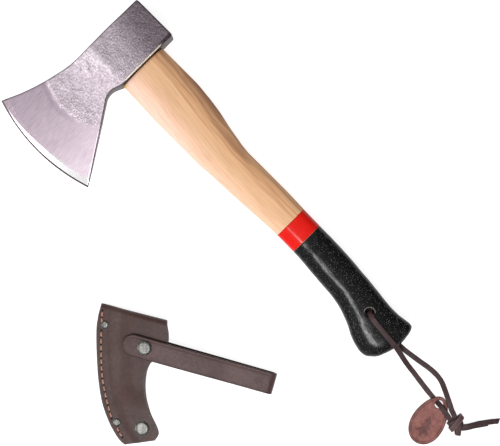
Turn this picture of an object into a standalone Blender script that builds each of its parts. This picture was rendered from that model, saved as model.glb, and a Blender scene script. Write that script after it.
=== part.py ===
"""Hatchet with a haft of about 360 mm: forged head, ash haft with a dipped grip, leather lanyard
with a tag, and its leather blade cover. Written for Blender 4.5; lengths in the drawing are
millimetres.

Drawing axes: x runs along the haft from the eye to the knob, y from the cutting edge to the poll,
z up from the surface that the hatchet and its cover lie on. x = y = 0 is the middle of the eye."""

import math

import bmesh
import bpy
from mathutils import Matrix, Vector
from mathutils.geometry import interpolate_bezier

# ---- Driving dimensions, millimetres ----
MM = 0.001
GAP = 0.3  # clearance between touching pieces
BOX_CENTRE = Vector((147.8, -99.96, 0.0))  # the drawing point that becomes the model's origin

HEAD_THICK = 27.0  # over the cheeks of the eye
MID = HEAD_THICK / 2  # height of the hatchet's middle plane
POLL_Y = 36.7
EYE_TOP_X = -21.2  # the head's top face
EYE_LOW_X = 21.2  # the head's underside, where the haft's shoulder sits

HAFT_END = 338.8
BAND_START, BAND_END = 201.1, 220.4
COAT = 0.6  # thickness of the paint band and the dipped grip
HOLE_X, HOLE_Y, HOLE_R = 301.0, -11.0, 4.3  # lanyard hole in the wood

LACE_WIDE, LACE_THICK = 4.5, 2.0
TAG_THICK, TAG_HOLE_R = 1.8, 3.6
TAG_PIVOT = Vector((400.0, -23.8, 0.0))

SHEATH_AT = Vector((188.8, -165.2, 0.0))  # the strap snap's place in the drawing
SHEATH_TURN = math.radians(45.0)
LEATHER = 2.4
WELT = 2.4
STRAP_TURN = math.radians(-16.0)
STRAP_SHIFT = -0.5  # the strap's middle line passes this far beside its snap
STRAP_WIDE, STRAP_THICK = 18.0, 2.0
STRAP_LONG = 114.0  # from the snap to the outside of the fold
STRAP_NOSE = 18.5  # from the snap to the rounded end

# Haft edges seen from above: x, back edge y, front edge y, half thickness
HAFT = (
    (EYE_LOW_X + GAP, 23.2, -22.6, 9.6),
    (40, 23.2, -23.3, 10.0),
    (60, 23.2, -24.1, 10.4),
    (76, 22.0, -24.4, 10.7),
    (93, 19.7, -24.4, 10.9),
    (110, 16.1, -24.4, 11.0),
    (119, 14.6, -23.9, 11.0),
    (128, 13.1, -23.2, 11.0),
    (137, 12.4, -22.9, 11.0),
    (150, 12.5, -22.3, 11.0),
    (177, 12.5, -20.8, 11.0),
    (201.1, 11.8, -19.6, 11.0),
    (220.4, 11.5, -19.8, 11.0),
    (240, 11.3, -21.1, 11.0),
    (256, 10.6, -22.4, 11.0),
    (270, 9.5, -23.4, 11.0),
    (279, 8.8, -25.1, 11.0),
    (287, 7.9, -27.6, 11.0),
    (296, 7.0, -31.1, 11.0),
    (304, 6.0, -35.2, 11.0),
    (312, 5.4, -38.2, 11.0),
    (320, 5.4, -39.7, 11.0),
    (325, 6.0, -38.9, 10.9),
    (329, 6.5, -36.0, 10.5),
    (332.5, 6.9, -32.4, 9.7),
    (335, 6.4, -26.9, 8.5),
    (337.3, 3.0, -20.5, 6.4),
    (HAFT_END, -4.5, -13.6, 3.4),
)
HAFT_SIDES = 28

# Head sections from poll to edge: y, top x, underside x, half thickness, bow towards the edge
HEAD = (
    (POLL_Y, -18.8, 20.0, 12.2, 0.0),
    (POLL_Y - 1.4, -20.1, 21.2, 13.5, 0.0),
    (18, -20.9, 21.2, 13.5, 0.0),
    (0, -21.3, 21.2, 13.5, 0.0),
    (-17, -21.1, 21.2, 13.5, 0.0),
    (-23, -21.1, 20.8, 12.8, 0.0),
    (-28, -21.3, 18.9, 11.3, 0.2),
    (-33, -21.6, 17.6, 9.6, 0.4),
    (-38, -22.1, 18.2, 8.0, 0.7),
    (-45, -23.2, 22.2, 6.5, 1.2),
    (-54, -25.2, 28.2, 5.3, 1.9),
    (-66, -28.3, 36.2, 4.3, 2.9),
    (-78, -32.1, 43.9, 3.5, 4.3),
    (-89, -36.3, 51.0, 2.8, 5.9),
    (-98.6, -40.8, 57.0, 2.1, 7.5),
    (-103.8, -43.2, 60.0, 0.3, 8.3),
)
HEAD_ACROSS = (0.0, 0.04, 0.14, 0.27, 0.40, 0.53, 0.66, 0.78, 0.88, 0.96, 1.0)
CORNER_THIN = 0.86  # how thick the head's narrow faces are beside its cheeks

# Blade cover, x right and y up from the strap snap: the two long sides, fold end first
COVER_LEFT = ((-37.4, 36.8), (-40.6, 24), (-41.3, 8), (-40.7, -12), (-39.3, -30), (-36.1, -48.4),
              (-30.2, -64.6), (-24.1, -75.6), (-18.2, -82.8))
COVER_RIGHT = ((18.6, 22.5), (19.8, 14), (19.2, 3), (15.5, -8.2), (5.9, -12.8), (1.2, -22.5),
               (0.3, -40), (4.0, -56.5), (11.2, -73.8), (8.4, -79.3))
COVER_ROWS, COVER_COLS = 22, 12
EDGE_RIVETS = ((-34.3, 18.7), (-23.9, -63.9))
HEEL_SNAP = (-2.7, -69.0)
THREAD_R = 0.5
SEAM_RUNS = (
    ("seam_thread_toe", ((-35.6, 33.0), (-36.3, 28.0), (-36.7, 23.6))),
    ("seam_thread_middle", ((-37.0, 13.8), (-37.0, 0), (-36.6, -14), (-35.4, -28), (-33.0, -41),
                            (-29.6, -52), (-26.9, -59.0))),
    ("seam_thread_heel", ((-22.2, -68.3), (-19.9, -72.4), (-17.6, -76.4))),
)

COLOURS = {
    "steel": ((0.42, 0.38, 0.41), 0.36, 1.0),
    "nickel": ((0.56, 0.55, 0.53), 0.28, 1.0),
    "ash": ((0.78, 0.52, 0.31), 0.55, 0.0),
    "red": ((0.72, 0.02, 0.01), 0.30, 0.0),
    "black": ((0.012, 0.012, 0.013), 0.50, 0.0),
    "leather": ((0.10, 0.055, 0.05), 0.55, 0.0),
    "tag_leather": ((0.26, 0.09, 0.075), 0.60, 0.0),
    "thread": ((0.55, 0.25, 0.12), 0.80, 0.0),
}


# ---- Tools ----
def clear_scene():
    for ob in list(bpy.data.objects):
        bpy.data.objects.remove(ob)


def collection(name):
    made = bpy.data.collections.new(name)
    bpy.context.scene.collection.children.link(made)
    return made


def material(name):
    """The named Principled material, made once."""
    found = bpy.data.materials.get(name)
    if found:
        return found
    colour, rough, metal = COLOURS[name]
    made = bpy.data.materials.new(name)
    made.use_nodes = True
    shader = made.node_tree.nodes["Principled BSDF"]
    shader.inputs["Base Color"].default_value = (*colour, 1.0)
    shader.inputs["Roughness"].default_value = rough
    shader.inputs["Metallic"].default_value = metal
    return made


def place(x, y, z):
    """A drawing point in millimetres as a model point in metres."""
    return (Vector((x, y, z)) - BOX_CENTRE) * MM


def cover_place(x, y, z):
    """A point of the blade cover's drawing as a model point."""
    turned = Matrix.Rotation(SHEATH_TURN, 3, "Z") @ Vector((x, y, 0))
    return place(SHEATH_AT.x + turned.x, SHEATH_AT.y + turned.y, z)


def link(ob, slot, group):
    if slot:
        ob.data.materials.append(material(slot))
    group.objects.link(ob)
    return ob


def mesh_object(name, verts, faces, slot, group, round_from=35):
    """A mesh piece with its faces made to point out and its round parts shaded smooth."""
    mesh = bpy.data.meshes.new(name)
    mesh.from_pydata([tuple(v) for v in verts], [], faces)
    work = bmesh.new()
    work.from_mesh(mesh)
    bmesh.ops.recalc_face_normals(work, faces=work.faces)
    if work.calc_volume(signed=True) < 0:
        bmesh.ops.reverse_faces(work, faces=work.faces)
    work.to_mesh(mesh)
    work.free()
    mesh.shade_smooth()
    mesh.set_sharp_from_angle(angle=math.radians(round_from))
    return link(bpy.data.objects.new(name, mesh), slot, group)


def loft(name, rings, slot, group, round_from=35):
    """A closed body through rings of equally many points, its two ends capped."""
    count = len(rings[0])
    verts = [p for ring in rings for p in ring]
    faces = [
        (r * count + i, r * count + (i + 1) % count,
         (r + 1) * count + (i + 1) % count, (r + 1) * count + i)
        for r in range(len(rings) - 1)
        for i in range(count)
    ]
    last = (len(rings) - 1) * count
    faces += [tuple(reversed(range(count))), tuple(range(last, last + count))]
    return mesh_object(name, verts, faces, slot, group, round_from)


def hide_cutter(ob):
    ob.hide_render = True
    ob.display_type = "WIRE"
    return ob


def cut(ob, cutter):
    """Takes the cutter's shape out of the piece."""
    step = ob.modifiers.new("cut_" + cutter.name, "BOOLEAN")
    step.operation = "DIFFERENCE"
    step.solver = "EXACT"
    step.object = cutter


def turned(name, profile, base, slot, group, steps=20):
    """A turned piece on an upright axis over base; profile is (radius, height), top to bottom."""
    mesh = bpy.data.meshes.new(name)
    points = [(r * MM, 0, h * MM) for r, h in profile]
    mesh.from_pydata(points, [(i, i + 1) for i in range(len(points) - 1)], [])
    ob = link(bpy.data.objects.new(name, mesh), slot, group)
    ob.location = base
    screw = ob.modifiers.new("turn", "SCREW")
    screw.steps = screw.render_steps = steps
    screw.use_merge_vertices = True
    screw.merge_threshold = 0.00001
    screw.use_smooth_shade = True
    return ob


def pin_cutter(name, base, radius, low, high, group, steps=20):
    """A round upright cutter over base between two heights above it."""
    profile = ((0, high), (radius, high), (radius, low), (0, low))
    return hide_cutter(turned(name, profile, base, None, group, steps))


def smooth_step(t):
    t = min(max(t, 0.0), 1.0)
    return t * t * (3 - 2 * t)


def smooth_line(points, per_span):
    """Points on one smooth curve through the given ones (Catmull-Rom as Bezier spans)."""
    pts = [Vector(p) for p in points]
    line = []
    for i in range(len(pts) - 1):
        a, b = pts[i], pts[i + 1]
        before = pts[i - 1] if i else a
        after = pts[i + 2] if i + 2 < len(pts) else b
        step = (b - a).length
        out = (b - before).normalized() * step / 3
        back = (after - a).normalized() * step / 3
        line += interpolate_bezier(a, a + out, b - back, b, per_span + 1)[:-1]
    return line + [pts[-1]]


def even_points(points, count):
    """Points equally spaced along a smooth curve through the given ones."""
    line = smooth_line(points, 12)
    run = [0.0]
    for a, b in zip(line, line[1:]):
        run.append(run[-1] + (b - a).length)
    found = []
    j = 0
    for i in range(count):
        want = run[-1] * i / (count - 1)
        while j < len(line) - 2 and run[j + 1] < want:
            j += 1
        part = (want - run[j]) / (run[j + 1] - run[j])
        found.append(line[j].lerp(line[j + 1], min(max(part, 0.0), 1.0)))
    return found


def straight_read(table, x):
    """One row of a table read at x, on straight lines between its rows."""
    for a, b in zip(table, table[1:]):
        if x <= b[0]:
            t = (x - a[0]) / (b[0] - a[0])
            return [p + (q - p) * t for p, q in zip(a, b)]
    return list(table[-1])


# ---- Head ----
def head_ring(y, top, low, half, bow):
    """One section of the head across y; bow pushes its middle towards the cutting edge."""
    def point(f, side):
        x = top + (low - top) * f
        thin = CORNER_THIN if f in (0.0, 1.0) else 1.0
        return place(x, y - bow * 4 * f * (1 - f), MID + side * half * thin)
    return [point(f, 1) for f in HEAD_ACROSS] + [point(f, -1) for f in reversed(HEAD_ACROSS)]


def eye_ring(x, shrink):
    """The oval of the eye at x, wider at the top so that the wedged tongue can't slip out."""
    rise = (EYE_LOW_X - x) / (EYE_LOW_X - EYE_TOP_X)
    half_y = 18.6 + 1.4 * rise - shrink
    half_z = 7.5 + 1.4 * rise - shrink
    return oval(x, 0.4, half_y, half_z)


def oval(x, centre_y, half_y, half_z, power=2.5):
    """A softly squared oval ring across x."""
    ring = []
    for i in range(HAFT_SIDES):
        turn = 2 * math.pi * (i + 0.5) / HAFT_SIDES
        c, s = math.cos(turn), math.sin(turn)
        y = math.copysign(abs(c) ** (2 / power), c) * half_y
        z = math.copysign(abs(s) ** (2 / power), s) * half_z
        ring.append(place(x, centre_y + y, MID + z))
    return ring


def make_head(parts, cutters):
    head = loft("axe_head", [head_ring(*row) for row in HEAD], "steel", parts)
    past = 2.0
    eye = loft("eye_cutter", [eye_ring(EYE_TOP_X - past, 0), eye_ring(EYE_LOW_X + past, 0)],
               None, cutters)
    cut(head, hide_cutter(eye))


# ---- Haft, wedges, band and grip ----
def haft_ring(x, inset):
    """The haft's outline at x, moved in all round by inset."""
    _, back, front, half = straight_read(HAFT, x)
    return oval(x, (back + front) / 2, (back - front) / 2 - inset, half - inset)


def knob_x(x, inset):
    """Draws the knob's last stations in, so that an inset end face stays parallel."""
    knob_start = 320.0
    if x <= knob_start:
        return x
    share = (x - knob_start) / (HAFT_END - knob_start)
    return x - inset * share


def grip_rings(inset, start):
    """Rings of the grip from start to the knob's end, inset all round and at the end."""
    rings = []
    for x, *_ in HAFT:
        if x <= start:
            continue
        ring = haft_ring(x, inset)
        shift = Vector(((knob_x(x, inset) - x) * MM, 0, 0))
        rings.append([p + shift for p in ring])
    first = haft_ring(start, inset)
    return [first] + rings


def make_haft(parts, cutters):
    tongue = [eye_ring(x, GAP) for x in (EYE_TOP_X + GAP, EYE_LOW_X + GAP)]
    bare = [haft_ring(x, 0) for x, *_ in HAFT if x <= BAND_START]
    under = grip_rings(COAT + GAP, BAND_START)
    haft = loft("haft", tongue + bare + under, "ash", parts)
    for cutter in (kerf_cutter(cutters), ring_groove(cutters), hole_cutter("haft", HOLE_R, cutters)):
        cut(haft, cutter)


def wedge_rings(top_half, deep_half, top_x, deep_x, half_y):
    """Rings of a flat wedge that tapers down the eye."""
    def ring(x, half_z):
        corners = ((-1, -1), (1, -1), (1, 1), (-1, 1))
        return [place(x, 0.4 + half_y * a, MID + half_z * b) for a, b in corners]
    return [ring(top_x, top_half), ring(deep_x, deep_half)]


def kerf_cutter(group):
    rings = wedge_rings(1.9, 0.9, EYE_TOP_X - 1, 9.0, 24.0)
    return hide_cutter(loft("kerf_cutter", rings, None, group))


def ring_groove(group):
    """The round groove that the ring wedge cuts into the tongue and the wooden wedge."""
    ob = along_x(ring_profile(GAP), "groove_cutter", None, group)
    return hide_cutter(ob)


def ring_profile(grow):
    """Outline of the ring wedge's wall, as radius and depth below the tongue's end."""
    outer, inner, deep = 6.5, 5.2, 8.0
    above = 2.0 if grow else 0.0
    return ((inner - grow, above), (outer + grow, above), (outer + grow, -deep + 1.5 - grow),
            (outer - 0.5 + grow, -deep - grow), (inner - grow, -deep - grow), (inner - grow, above))


def along_x(profile, name, slot, group):
    """A turned ring whose axis runs down the eye."""
    ob = turned(name, profile, place(EYE_TOP_X + GAP, 0.4, MID), slot, group)
    ob.rotation_euler = (0, -math.pi / 2, 0)
    return ob


def make_wedges(parts, cutters):
    rings = wedge_rings(1.55, 0.65, EYE_TOP_X + GAP, 7.0, 18.0)
    wedge = loft("wood_wedge", rings, "ash", parts)
    cut(wedge, cutters.objects["groove_cutter"])
    along_x(ring_profile(0), "ring_wedge", "steel", parts)


def hole_cutter(name, radius, group):
    base = place(HOLE_X, HOLE_Y, 0)
    return pin_cutter("hole_cutter_" + name, base, radius, -5, HEAD_THICK + 5, group)


def make_band_and_grip(parts, cutters):
    ends = (BAND_START + GAP, BAND_END - GAP / 2)
    tube = [haft_ring(ends[0], COAT), haft_ring(ends[0], 0), haft_ring(ends[1], 0),
            haft_ring(ends[1], COAT)]
    closed_sweep("red_band", tube, "red", parts)
    start = BAND_END + GAP / 2
    inner = list(reversed(grip_rings(COAT, start)))
    coat = loft("grip_coat", inner + grip_rings(0, start), "black", parts)
    cut(coat, hole_cutter("coat", HOLE_R + 0.6, cutters))


def closed_sweep(name, rings, slot, group):
    """A ring-shaped body: the last ring joins back to the first."""
    count = len(rings[0])
    total = len(rings)
    verts = [p for ring in rings for p in ring]
    faces = [
        (r * count + i, r * count + (i + 1) % count,
         (r + 1) % total * count + (i + 1) % count, (r + 1) % total * count + i)
        for r in range(total)
        for i in range(count)
    ]
    return mesh_object(name, verts, faces, slot, group)


# ---- Lanyard ----
FRONT_LEG = ((301.0, -10.7, 15.5), (301.1, -10.9, 21.5), (303.4, -12.0, 25.3), (309, -13.2, 26.0),
             (318, -14.1, 25.9), (328, -15.0, 25.5), (336, -15.6, 23.6), (343, -16.6, 18.6),
             (350, -17.9, 11.6), (358, -19.1, 4.9), (366, -20.0, 2.0), (374, -21.1, 1.3),
             (384, -22.4, 1.3), (392, -23.2, 1.2), (397.1, -23.6, 1.5), (400.0, -23.8, 4.0),
             (402.8, -24.1, 6.7), (407, -24.9, 7.2), (411, -25.6, 6.7), (415.2, -26.3, 6.0))
BACK_LEG = ((301.0, -11.0, 14.0), (301.1, -11.0, 5.5), (303.6, -11.0, 1.8), (309, -11.2, 1.2),
            (323, -11.9, 1.2), (335, -12.2, 1.2), (344, -12.1, 1.2), (353, -11.1, 1.2),
            (364.4, -9.4, 1.2), (373, -8.0, 1.2), (381, -7.6, 1.2), (388, -8.6, 1.4),
            (394, -11.2, 3.4), (400, -14.4, 6.6), (406, -17.5, 7.4), (411, -20.0, 7.0),
            (415.2, -21.4, 6.3))
LONG_TAIL = ((430.0, -20.2, 5.8), (433.0, -15.6, 4.9), (436.2, -10.8, 3.9), (439.9, -5.8, 3.6),
             (443.7, -1.2, 2.6), (446.7, 2.0, 1.3))
SHORT_TAIL = ((430.9, -21.9, 1.6), (434.0, -17.0, 1.2), (437.6, -11.7, 1.2), (441.4, -6.3, 1.2))
KNOT_AT = (423.2, -25.2, 5.1)
KNOT_SIZE = (6.6, 8.4, 4.9)  # half sizes


def lace_frames(line):
    """At each point of the lace: its place, its sideways direction and its flat side's normal."""
    frames = []
    for i, p in enumerate(line):
        ahead = line[min(i + 1, len(line) - 1)]
        behind = line[max(i - 1, 0)]
        run = (ahead - behind).normalized()
        flat = Vector((run.x, run.y, 0))
        heading = flat.normalized() if flat.length > 0.2 else Vector((0.99, -0.1, 0)).normalized()
        side = Vector((-heading.y, heading.x, 0))
        frames.append((p, side, side.cross(run).normalized() * -1))
    return frames


def make_lace(name, points, count, parts):
    """One run of the flat lace as a closed band with softened corners."""
    half_w, half_t = LACE_WIDE / 2, LACE_THICK / 2
    soft = 0.45
    outline = ((half_w, half_t - soft), (half_w - soft, half_t), (soft - half_w, half_t),
               (-half_w, half_t - soft), (-half_w, soft - half_t), (soft - half_w, -half_t),
               (half_w - soft, -half_t), (half_w, soft - half_t))
    rings = []
    for p, side, up in lace_frames(even_points(points, count)):
        rings.append([place(*(p + side * a + up * b)) for a, b in outline])
    return loft(name, rings, "leather", parts)


def make_lanyard(parts):
    make_lace("lanyard_front_leg", FRONT_LEG, 44, parts)
    make_lace("lanyard_back_leg", BACK_LEG, 44, parts)
    make_lace("lanyard_long_tail", LONG_TAIL, 14, parts)
    make_lace("lanyard_short_tail", SHORT_TAIL, 9, parts)
    work = bmesh.new()
    bmesh.ops.create_uvsphere(work, u_segments=20, v_segments=12, radius=1.0)
    for v in work.verts:
        size = Vector((v.co.x * KNOT_SIZE[0], v.co.y * KNOT_SIZE[1], v.co.z * KNOT_SIZE[2]))
        v.co = place(*(Vector(KNOT_AT) + size))
    mesh = bpy.data.meshes.new("lanyard_knot")
    work.to_mesh(mesh)
    work.free()
    mesh.shade_smooth()
    link(bpy.data.objects.new("lanyard_knot", mesh), "leather", parts)


def make_tag(parts, cutters):
    """Egg-shaped leather tag on the lace, its hole on the pivot's axis, tip lifted by the lace."""
    lean = math.radians(4.2)
    heading = math.radians(-75.5)  # from the hole towards the tag's wide end
    tip, wide_end, half_wide = 6.6, 38.3, 15.9
    outline = []
    steps = 40
    for i in range(steps):
        turn = 2 * math.pi * i / steps
        along = (wide_end - tip) / 2 - (wide_end + tip) / 2 * math.cos(turn)
        full = 0.5 - 0.5 * math.cos(turn)
        outline.append((along, half_wide * math.sin(turn) * (0.74 + 0.30 * full)))
    pivot = bpy.data.objects.new("tag_pivot", None)
    pivot.location = place(TAG_PIVOT.x, TAG_PIVOT.y, 0)
    parts.objects.link(pivot)
    rise = 3.05
    tilt = Matrix.Rotation(heading, 3, "Z") @ Matrix.Rotation(lean, 3, "Y")
    rings = [
        [(tilt @ Vector((a, b, h)) + Vector((0, 0, rise))) * MM for a, b in outline]
        for h in (0.0, TAG_THICK)
    ]
    tag = loft("leather_tag", rings, "tag_leather", parts)
    tag.parent = pivot
    cutter = pin_cutter("tag_hole_cutter", pivot.location, TAG_HOLE_R, -2, 12, cutters)
    cut(tag, cutter)


# ---- Blade cover ----
def edge_distance(x, y):
    """How far a point of the cover lies inside its stitched edge, along x."""
    table = [(-py, px) for px, py in COVER_LEFT]
    return x - straight_read(table, -y)[1]


def rear_under(x, y):
    """Height of the rear panel's underside: lifted over the strap's rear run."""
    inward = smooth_step((edge_distance(x, y) - 8.5) / 13)
    upper = 1 - smooth_step((-y - 24) / 28)
    return 1.2 + 2.3 * inward * upper


def panel_gap(x, y):
    """Room between the two panels: the welt at the edge, the blade inside."""
    inward = edge_distance(x, y)
    upper = 1 - smooth_step((-y - 34) / 22)
    blade = 2.8 * smooth_step((inward - 9) / 22) * upper
    snap = 0.9 * smooth_step((inward - 9) / 8) * (1 - upper)
    return WELT + 2 * GAP + blade + snap


def rear_middle(x, y):
    return rear_under(x, y) + LEATHER / 2


def front_middle(x, y):
    return rear_under(x, y) + LEATHER * 1.5 + panel_gap(x, y)


def front_top(x, y):
    return front_middle(x, y) + LEATHER / 2


def cover_rows():
    """The panels' rows from fold to heel as (left end, right end)."""
    left = even_points([(*p, 0) for p in COVER_LEFT], COVER_ROWS)
    right = even_points([(*p, 0) for p in COVER_RIGHT], COVER_ROWS)
    return list(zip(left, right))


def make_pocket(parts, cutters):
    """One hide folded over at the toe: rear panel, fold and front panel, thickened both ways."""
    rows = cover_rows()
    grid = []
    fold_inset = 4.6  # keeps the fold's outside on the outline
    for panel, order in ((rear_middle, range(COVER_ROWS - 1, -1, -1)), (front_middle, None)):
        if order is None:
            grid += fold_rows(rows[0], fold_inset)
            order = range(COVER_ROWS)
        for r in order:
            grid.append([row_point(rows[r], c, r, fold_inset, panel) for c in range(COVER_COLS)])
    verts = [p for row in grid for p in row]
    faces = [
        (r * COVER_COLS + c, r * COVER_COLS + c + 1,
         (r + 1) * COVER_COLS + c + 1, (r + 1) * COVER_COLS + c)
        for r in range(len(grid) - 1)
        for c in range(COVER_COLS - 1)
    ]
    mesh = bpy.data.meshes.new("sheath_pocket")
    mesh.from_pydata([tuple(v) for v in verts], [], faces)
    pocket = link(bpy.data.objects.new("sheath_pocket", mesh), "leather", parts)
    shell = pocket.modifiers.new("hide", "SOLIDIFY")
    shell.thickness = LEATHER * MM
    shell.offset = 0
    shell.use_even_offset = True
    for cutter in cover_holes(cutters):
        cut(pocket, cutter)


def row_point(row, col, index, fold_inset, panel):
    """A point of a panel's row; the first rows draw back to leave room for the fold."""
    left, right = row
    point = left.lerp(right, col / (COVER_COLS - 1))
    back = fold_inset * (1 - smooth_step(index / 6))
    x, y = point.x, point.y - back
    return cover_place(x, y, panel(x, y))


def fold_rows(row, fold_inset):
    """Rows round the fold, from the rear panel over the toe side to the front panel."""
    left, right = row
    steps = 7
    rows = []
    for k in range(1, steps):
        turn = math.pi * k / steps
        line = []
        for c in range(COVER_COLS):
            p = left.lerp(right, c / (COVER_COLS - 1))
            x, y = p.x, p.y - fold_inset
            low, high = rear_middle(x, y), front_middle(x, y)
            mid, half = (low + high) / 2, (high - low) / 2
            reach = fold_inset - LEATHER / 2
            line.append(cover_place(x, y + reach * math.sin(turn), mid - half * math.cos(turn)))
        rows.append(line)
    return rows


def cover_holes(group):
    """Cutters for every rivet, snap post and needle hole in the cover."""
    made = []
    for i, (x, y) in enumerate((*EDGE_RIVETS, HEEL_SNAP, (0, 0))):
        made.append(pin_cutter(f"post_cutter_{i}", cover_place(x, y, 0), 1.9, -2, 40, group, 12))
    x, y = strap_xy(STRAP_RIVET_S)
    made.append(pin_cutter("strap_rivet_cutter", cover_place(x, y, 0), 1.5, -2, 8, group, 12))
    return made


def make_welt(parts, cutters):
    """The strip sewn between the panels so that the edge can't cut the thread."""
    wide = 7.6
    rings = []
    side = even_points([(*p, 0) for p in COVER_LEFT], 30)
    for i, p in enumerate(side[1:-1]):
        run = (side[i + 2] - side[i]).normalized()
        inward = Vector((-run.y, run.x, 0))
        start = p + inward * 0.2
        end = p + inward * wide
        low = rear_under(start.x, start.y) + LEATHER + GAP
        rings.append([cover_place(start.x, start.y, low), cover_place(end.x, end.y, low),
                      cover_place(end.x, end.y, low + WELT), cover_place(start.x, start.y, low + WELT)])
    welt = loft("sheath_welt", rings, "leather", parts)
    for i in range(len(EDGE_RIVETS)):
        cut(welt, cutters.objects[f"post_cutter_{i}"])


def dome(radius, low, height, thick):
    """Profile of a pressed cap: crowned top and flat underside."""
    rim = low + thick * 0.35
    profile = [(0, low + height)]
    for turn in (20, 40, 60, 78):
        t = math.radians(turn)
        profile.append((radius * math.sin(t), rim + (low + height - rim) * math.cos(t) ** 0.8))
    return profile + [(radius, rim), (radius, low), (0, low)]


def post(head_r, head_low, head_high, shank_r, shank_top):
    """Profile of a rivet or snap post: a shank on a flat head."""
    return [(0, shank_top), (shank_r, shank_top), (shank_r, head_high), (head_r - 0.3, head_high),
            (head_r, head_high - 0.3), (head_r, head_low + 0.2), (head_r - 0.3, head_low),
            (0, head_low)]


def make_edge_rivets(parts):
    for name, (x, y) in zip(("toe", "heel"), EDGE_RIVETS):
        base = cover_place(x, y, 0)
        top = front_top(x, y)
        turned(f"{name}_rivet_cap", dome(3.5, top + GAP, 1.3, 1.0), base, "nickel", parts)
        turned(f"{name}_rivet_post", post(3.3, 0.05, 0.9, 1.3, top), base, "nickel", parts, 20)


def stud(low):
    """Profile of a snap's stud: flange, neck and rounded head."""
    return [(0, low + 1.8), (1.9, low + 1.75), (2.4, low + 1.4), (2.4, low + 1.1), (2.0, low + 0.8),
            (2.0, low + 0.4), (4.6, low + 0.4), (4.6, low), (0, low)]


def socket(low, high):
    """Profile of a snap's socket: a ring with a lipped bore for the stud."""
    return [(3.0, high), (5.0, high), (5.2, high - 0.3), (5.2, low + 0.3), (4.9, low), (2.9, low),
            (2.7, low + 0.3), (3.0, low + 0.6), (3.0, high)]


def cap_with_barrel(radius, low, height, barrel_low):
    """Profile of a snap's cap whose barrel goes down through the leather."""
    return dome(radius, low, height, 1.2)[:-1] + [(1.5, low), (1.5, barrel_low), (0, barrel_low)]


def make_heel_snap(parts):
    x, y = HEEL_SNAP
    base = cover_place(x, y, 0)
    rear = rear_under(x, y) + LEATHER
    under = rear + panel_gap(x, y)
    top = front_top(x, y)
    cap = cap_with_barrel(6.4, top + GAP, 1.5, under - 1.2)
    turned("heel_snap_cap", cap, base, "nickel", parts, 26)
    turned("heel_snap_socket", socket(rear + 1.0, under - GAP), base, "nickel", parts)
    turned("heel_snap_stud", stud(rear + GAP), base, "nickel", parts)
    turned("heel_snap_post", post(5.6, 0.05, 0.9, 1.5, rear), base, "nickel", parts, 20)


# ---- Strap ----
STRAP_RIVET_S = -6.0
FOLD_R = 4.9  # middle of the leather at the fold
FOLD_S = STRAP_LONG - STRAP_THICK / 2 - FOLD_R
FOLD_Z = 1.5 + FOLD_R
STRAP_OVER = 17.6  # middle of the strap's front run at the snap


def strap_xy(s, across=0.0):
    """A point of the cover's drawing, s along the strap from its snap."""
    c, n = math.cos(STRAP_TURN), math.sin(STRAP_TURN)
    across += STRAP_SHIFT
    return s * c - across * n, s * n + across * c


def front_run():
    """Middle line of the strap from its rounded end to the outermost point of the fold."""
    top = FOLD_Z + FOLD_R
    line = []
    for i in range(24):
        s = -STRAP_NOSE + 0.25 + (FOLD_S + STRAP_NOSE - 0.25) * i / 23
        line.append((s, STRAP_OVER - (STRAP_OVER - top) * smooth_step((s - 12) / (FOLD_S - 12))))
    for k in range(1, 6):
        turn = math.pi / 2 * (1 - k / 5)
        line.append((FOLD_S + FOLD_R * math.cos(turn), FOLD_Z + FOLD_R * math.sin(turn) + 0.02))
    return line


def rear_run():
    """Middle line from the outermost point of the fold back under the rear panel."""
    line = []
    for k in range(6):
        turn = -math.pi / 2 * k / 5
        line.append((FOLD_S + FOLD_R * math.cos(turn), FOLD_Z + FOLD_R * math.sin(turn)))
    low, lifted = FOLD_Z - FOLD_R, 2.15
    rear_end = -14.0
    for i in range(1, 17):
        s = FOLD_S + (rear_end - FOLD_S) * i / 16
        line.append((s, low + (lifted - low) * smooth_step((60 - s) / 35)))
    return line


def make_strap_run(name, line, nose, parts):
    """A strap of constant thickness along a middle line, rounded off at its free end."""
    rings = []
    half = STRAP_WIDE / 2
    for i, (s, z) in enumerate(line):
        ahead, behind = line[min(i + 1, len(line) - 1)], line[max(i - 1, 0)]
        run = Vector((ahead[0] - behind[0], ahead[1] - behind[1])).normalized()
        up = Vector((-run.y, run.x)) * STRAP_THICK / 2
        from_nose = abs(s - nose)
        wide = half if from_nose >= half else math.sqrt(max(half ** 2 - (half - from_nose) ** 2, 4))
        ring = []
        for a, b in ((-1, -1), (1, -1), (1, 1), (-1, 1)):
            x, y = strap_xy(s + up.x * b, wide * a)
            ring.append(cover_place(x, y, z + up.y * b))
        rings.append(ring)
    return loft(name, rings, "leather", parts)


def make_strap(parts, cutters):
    """The strap's two runs, parted by a clearance at the fold's outermost point."""
    half_gap = GAP / 2
    front = [(s, z + half_gap) if s > FOLD_S else (s, z) for s, z in front_run()]
    front = dense_nose(front, -STRAP_NOSE)
    rear = [(s, z - half_gap) if s > FOLD_S else (s, z) for s, z in rear_run()]
    front_ob = make_strap_run("strap_front", front, -STRAP_NOSE, parts)
    rear_ob = make_strap_run("strap_rear", rear, -14.5, parts)
    cut(front_ob, cutters.objects["post_cutter_3"])
    cut(rear_ob, cutters.objects["strap_rivet_cutter"])


def dense_nose(line, nose):
    """Adds stations near the rounded end, where the width changes quickly."""
    z = line[0][1]
    first = line[1][0]
    extra = [(nose + d, z) for d in (0.25, 1.0, 2.2, 4.0) if nose + d < first]
    return extra + line[1:]


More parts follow.
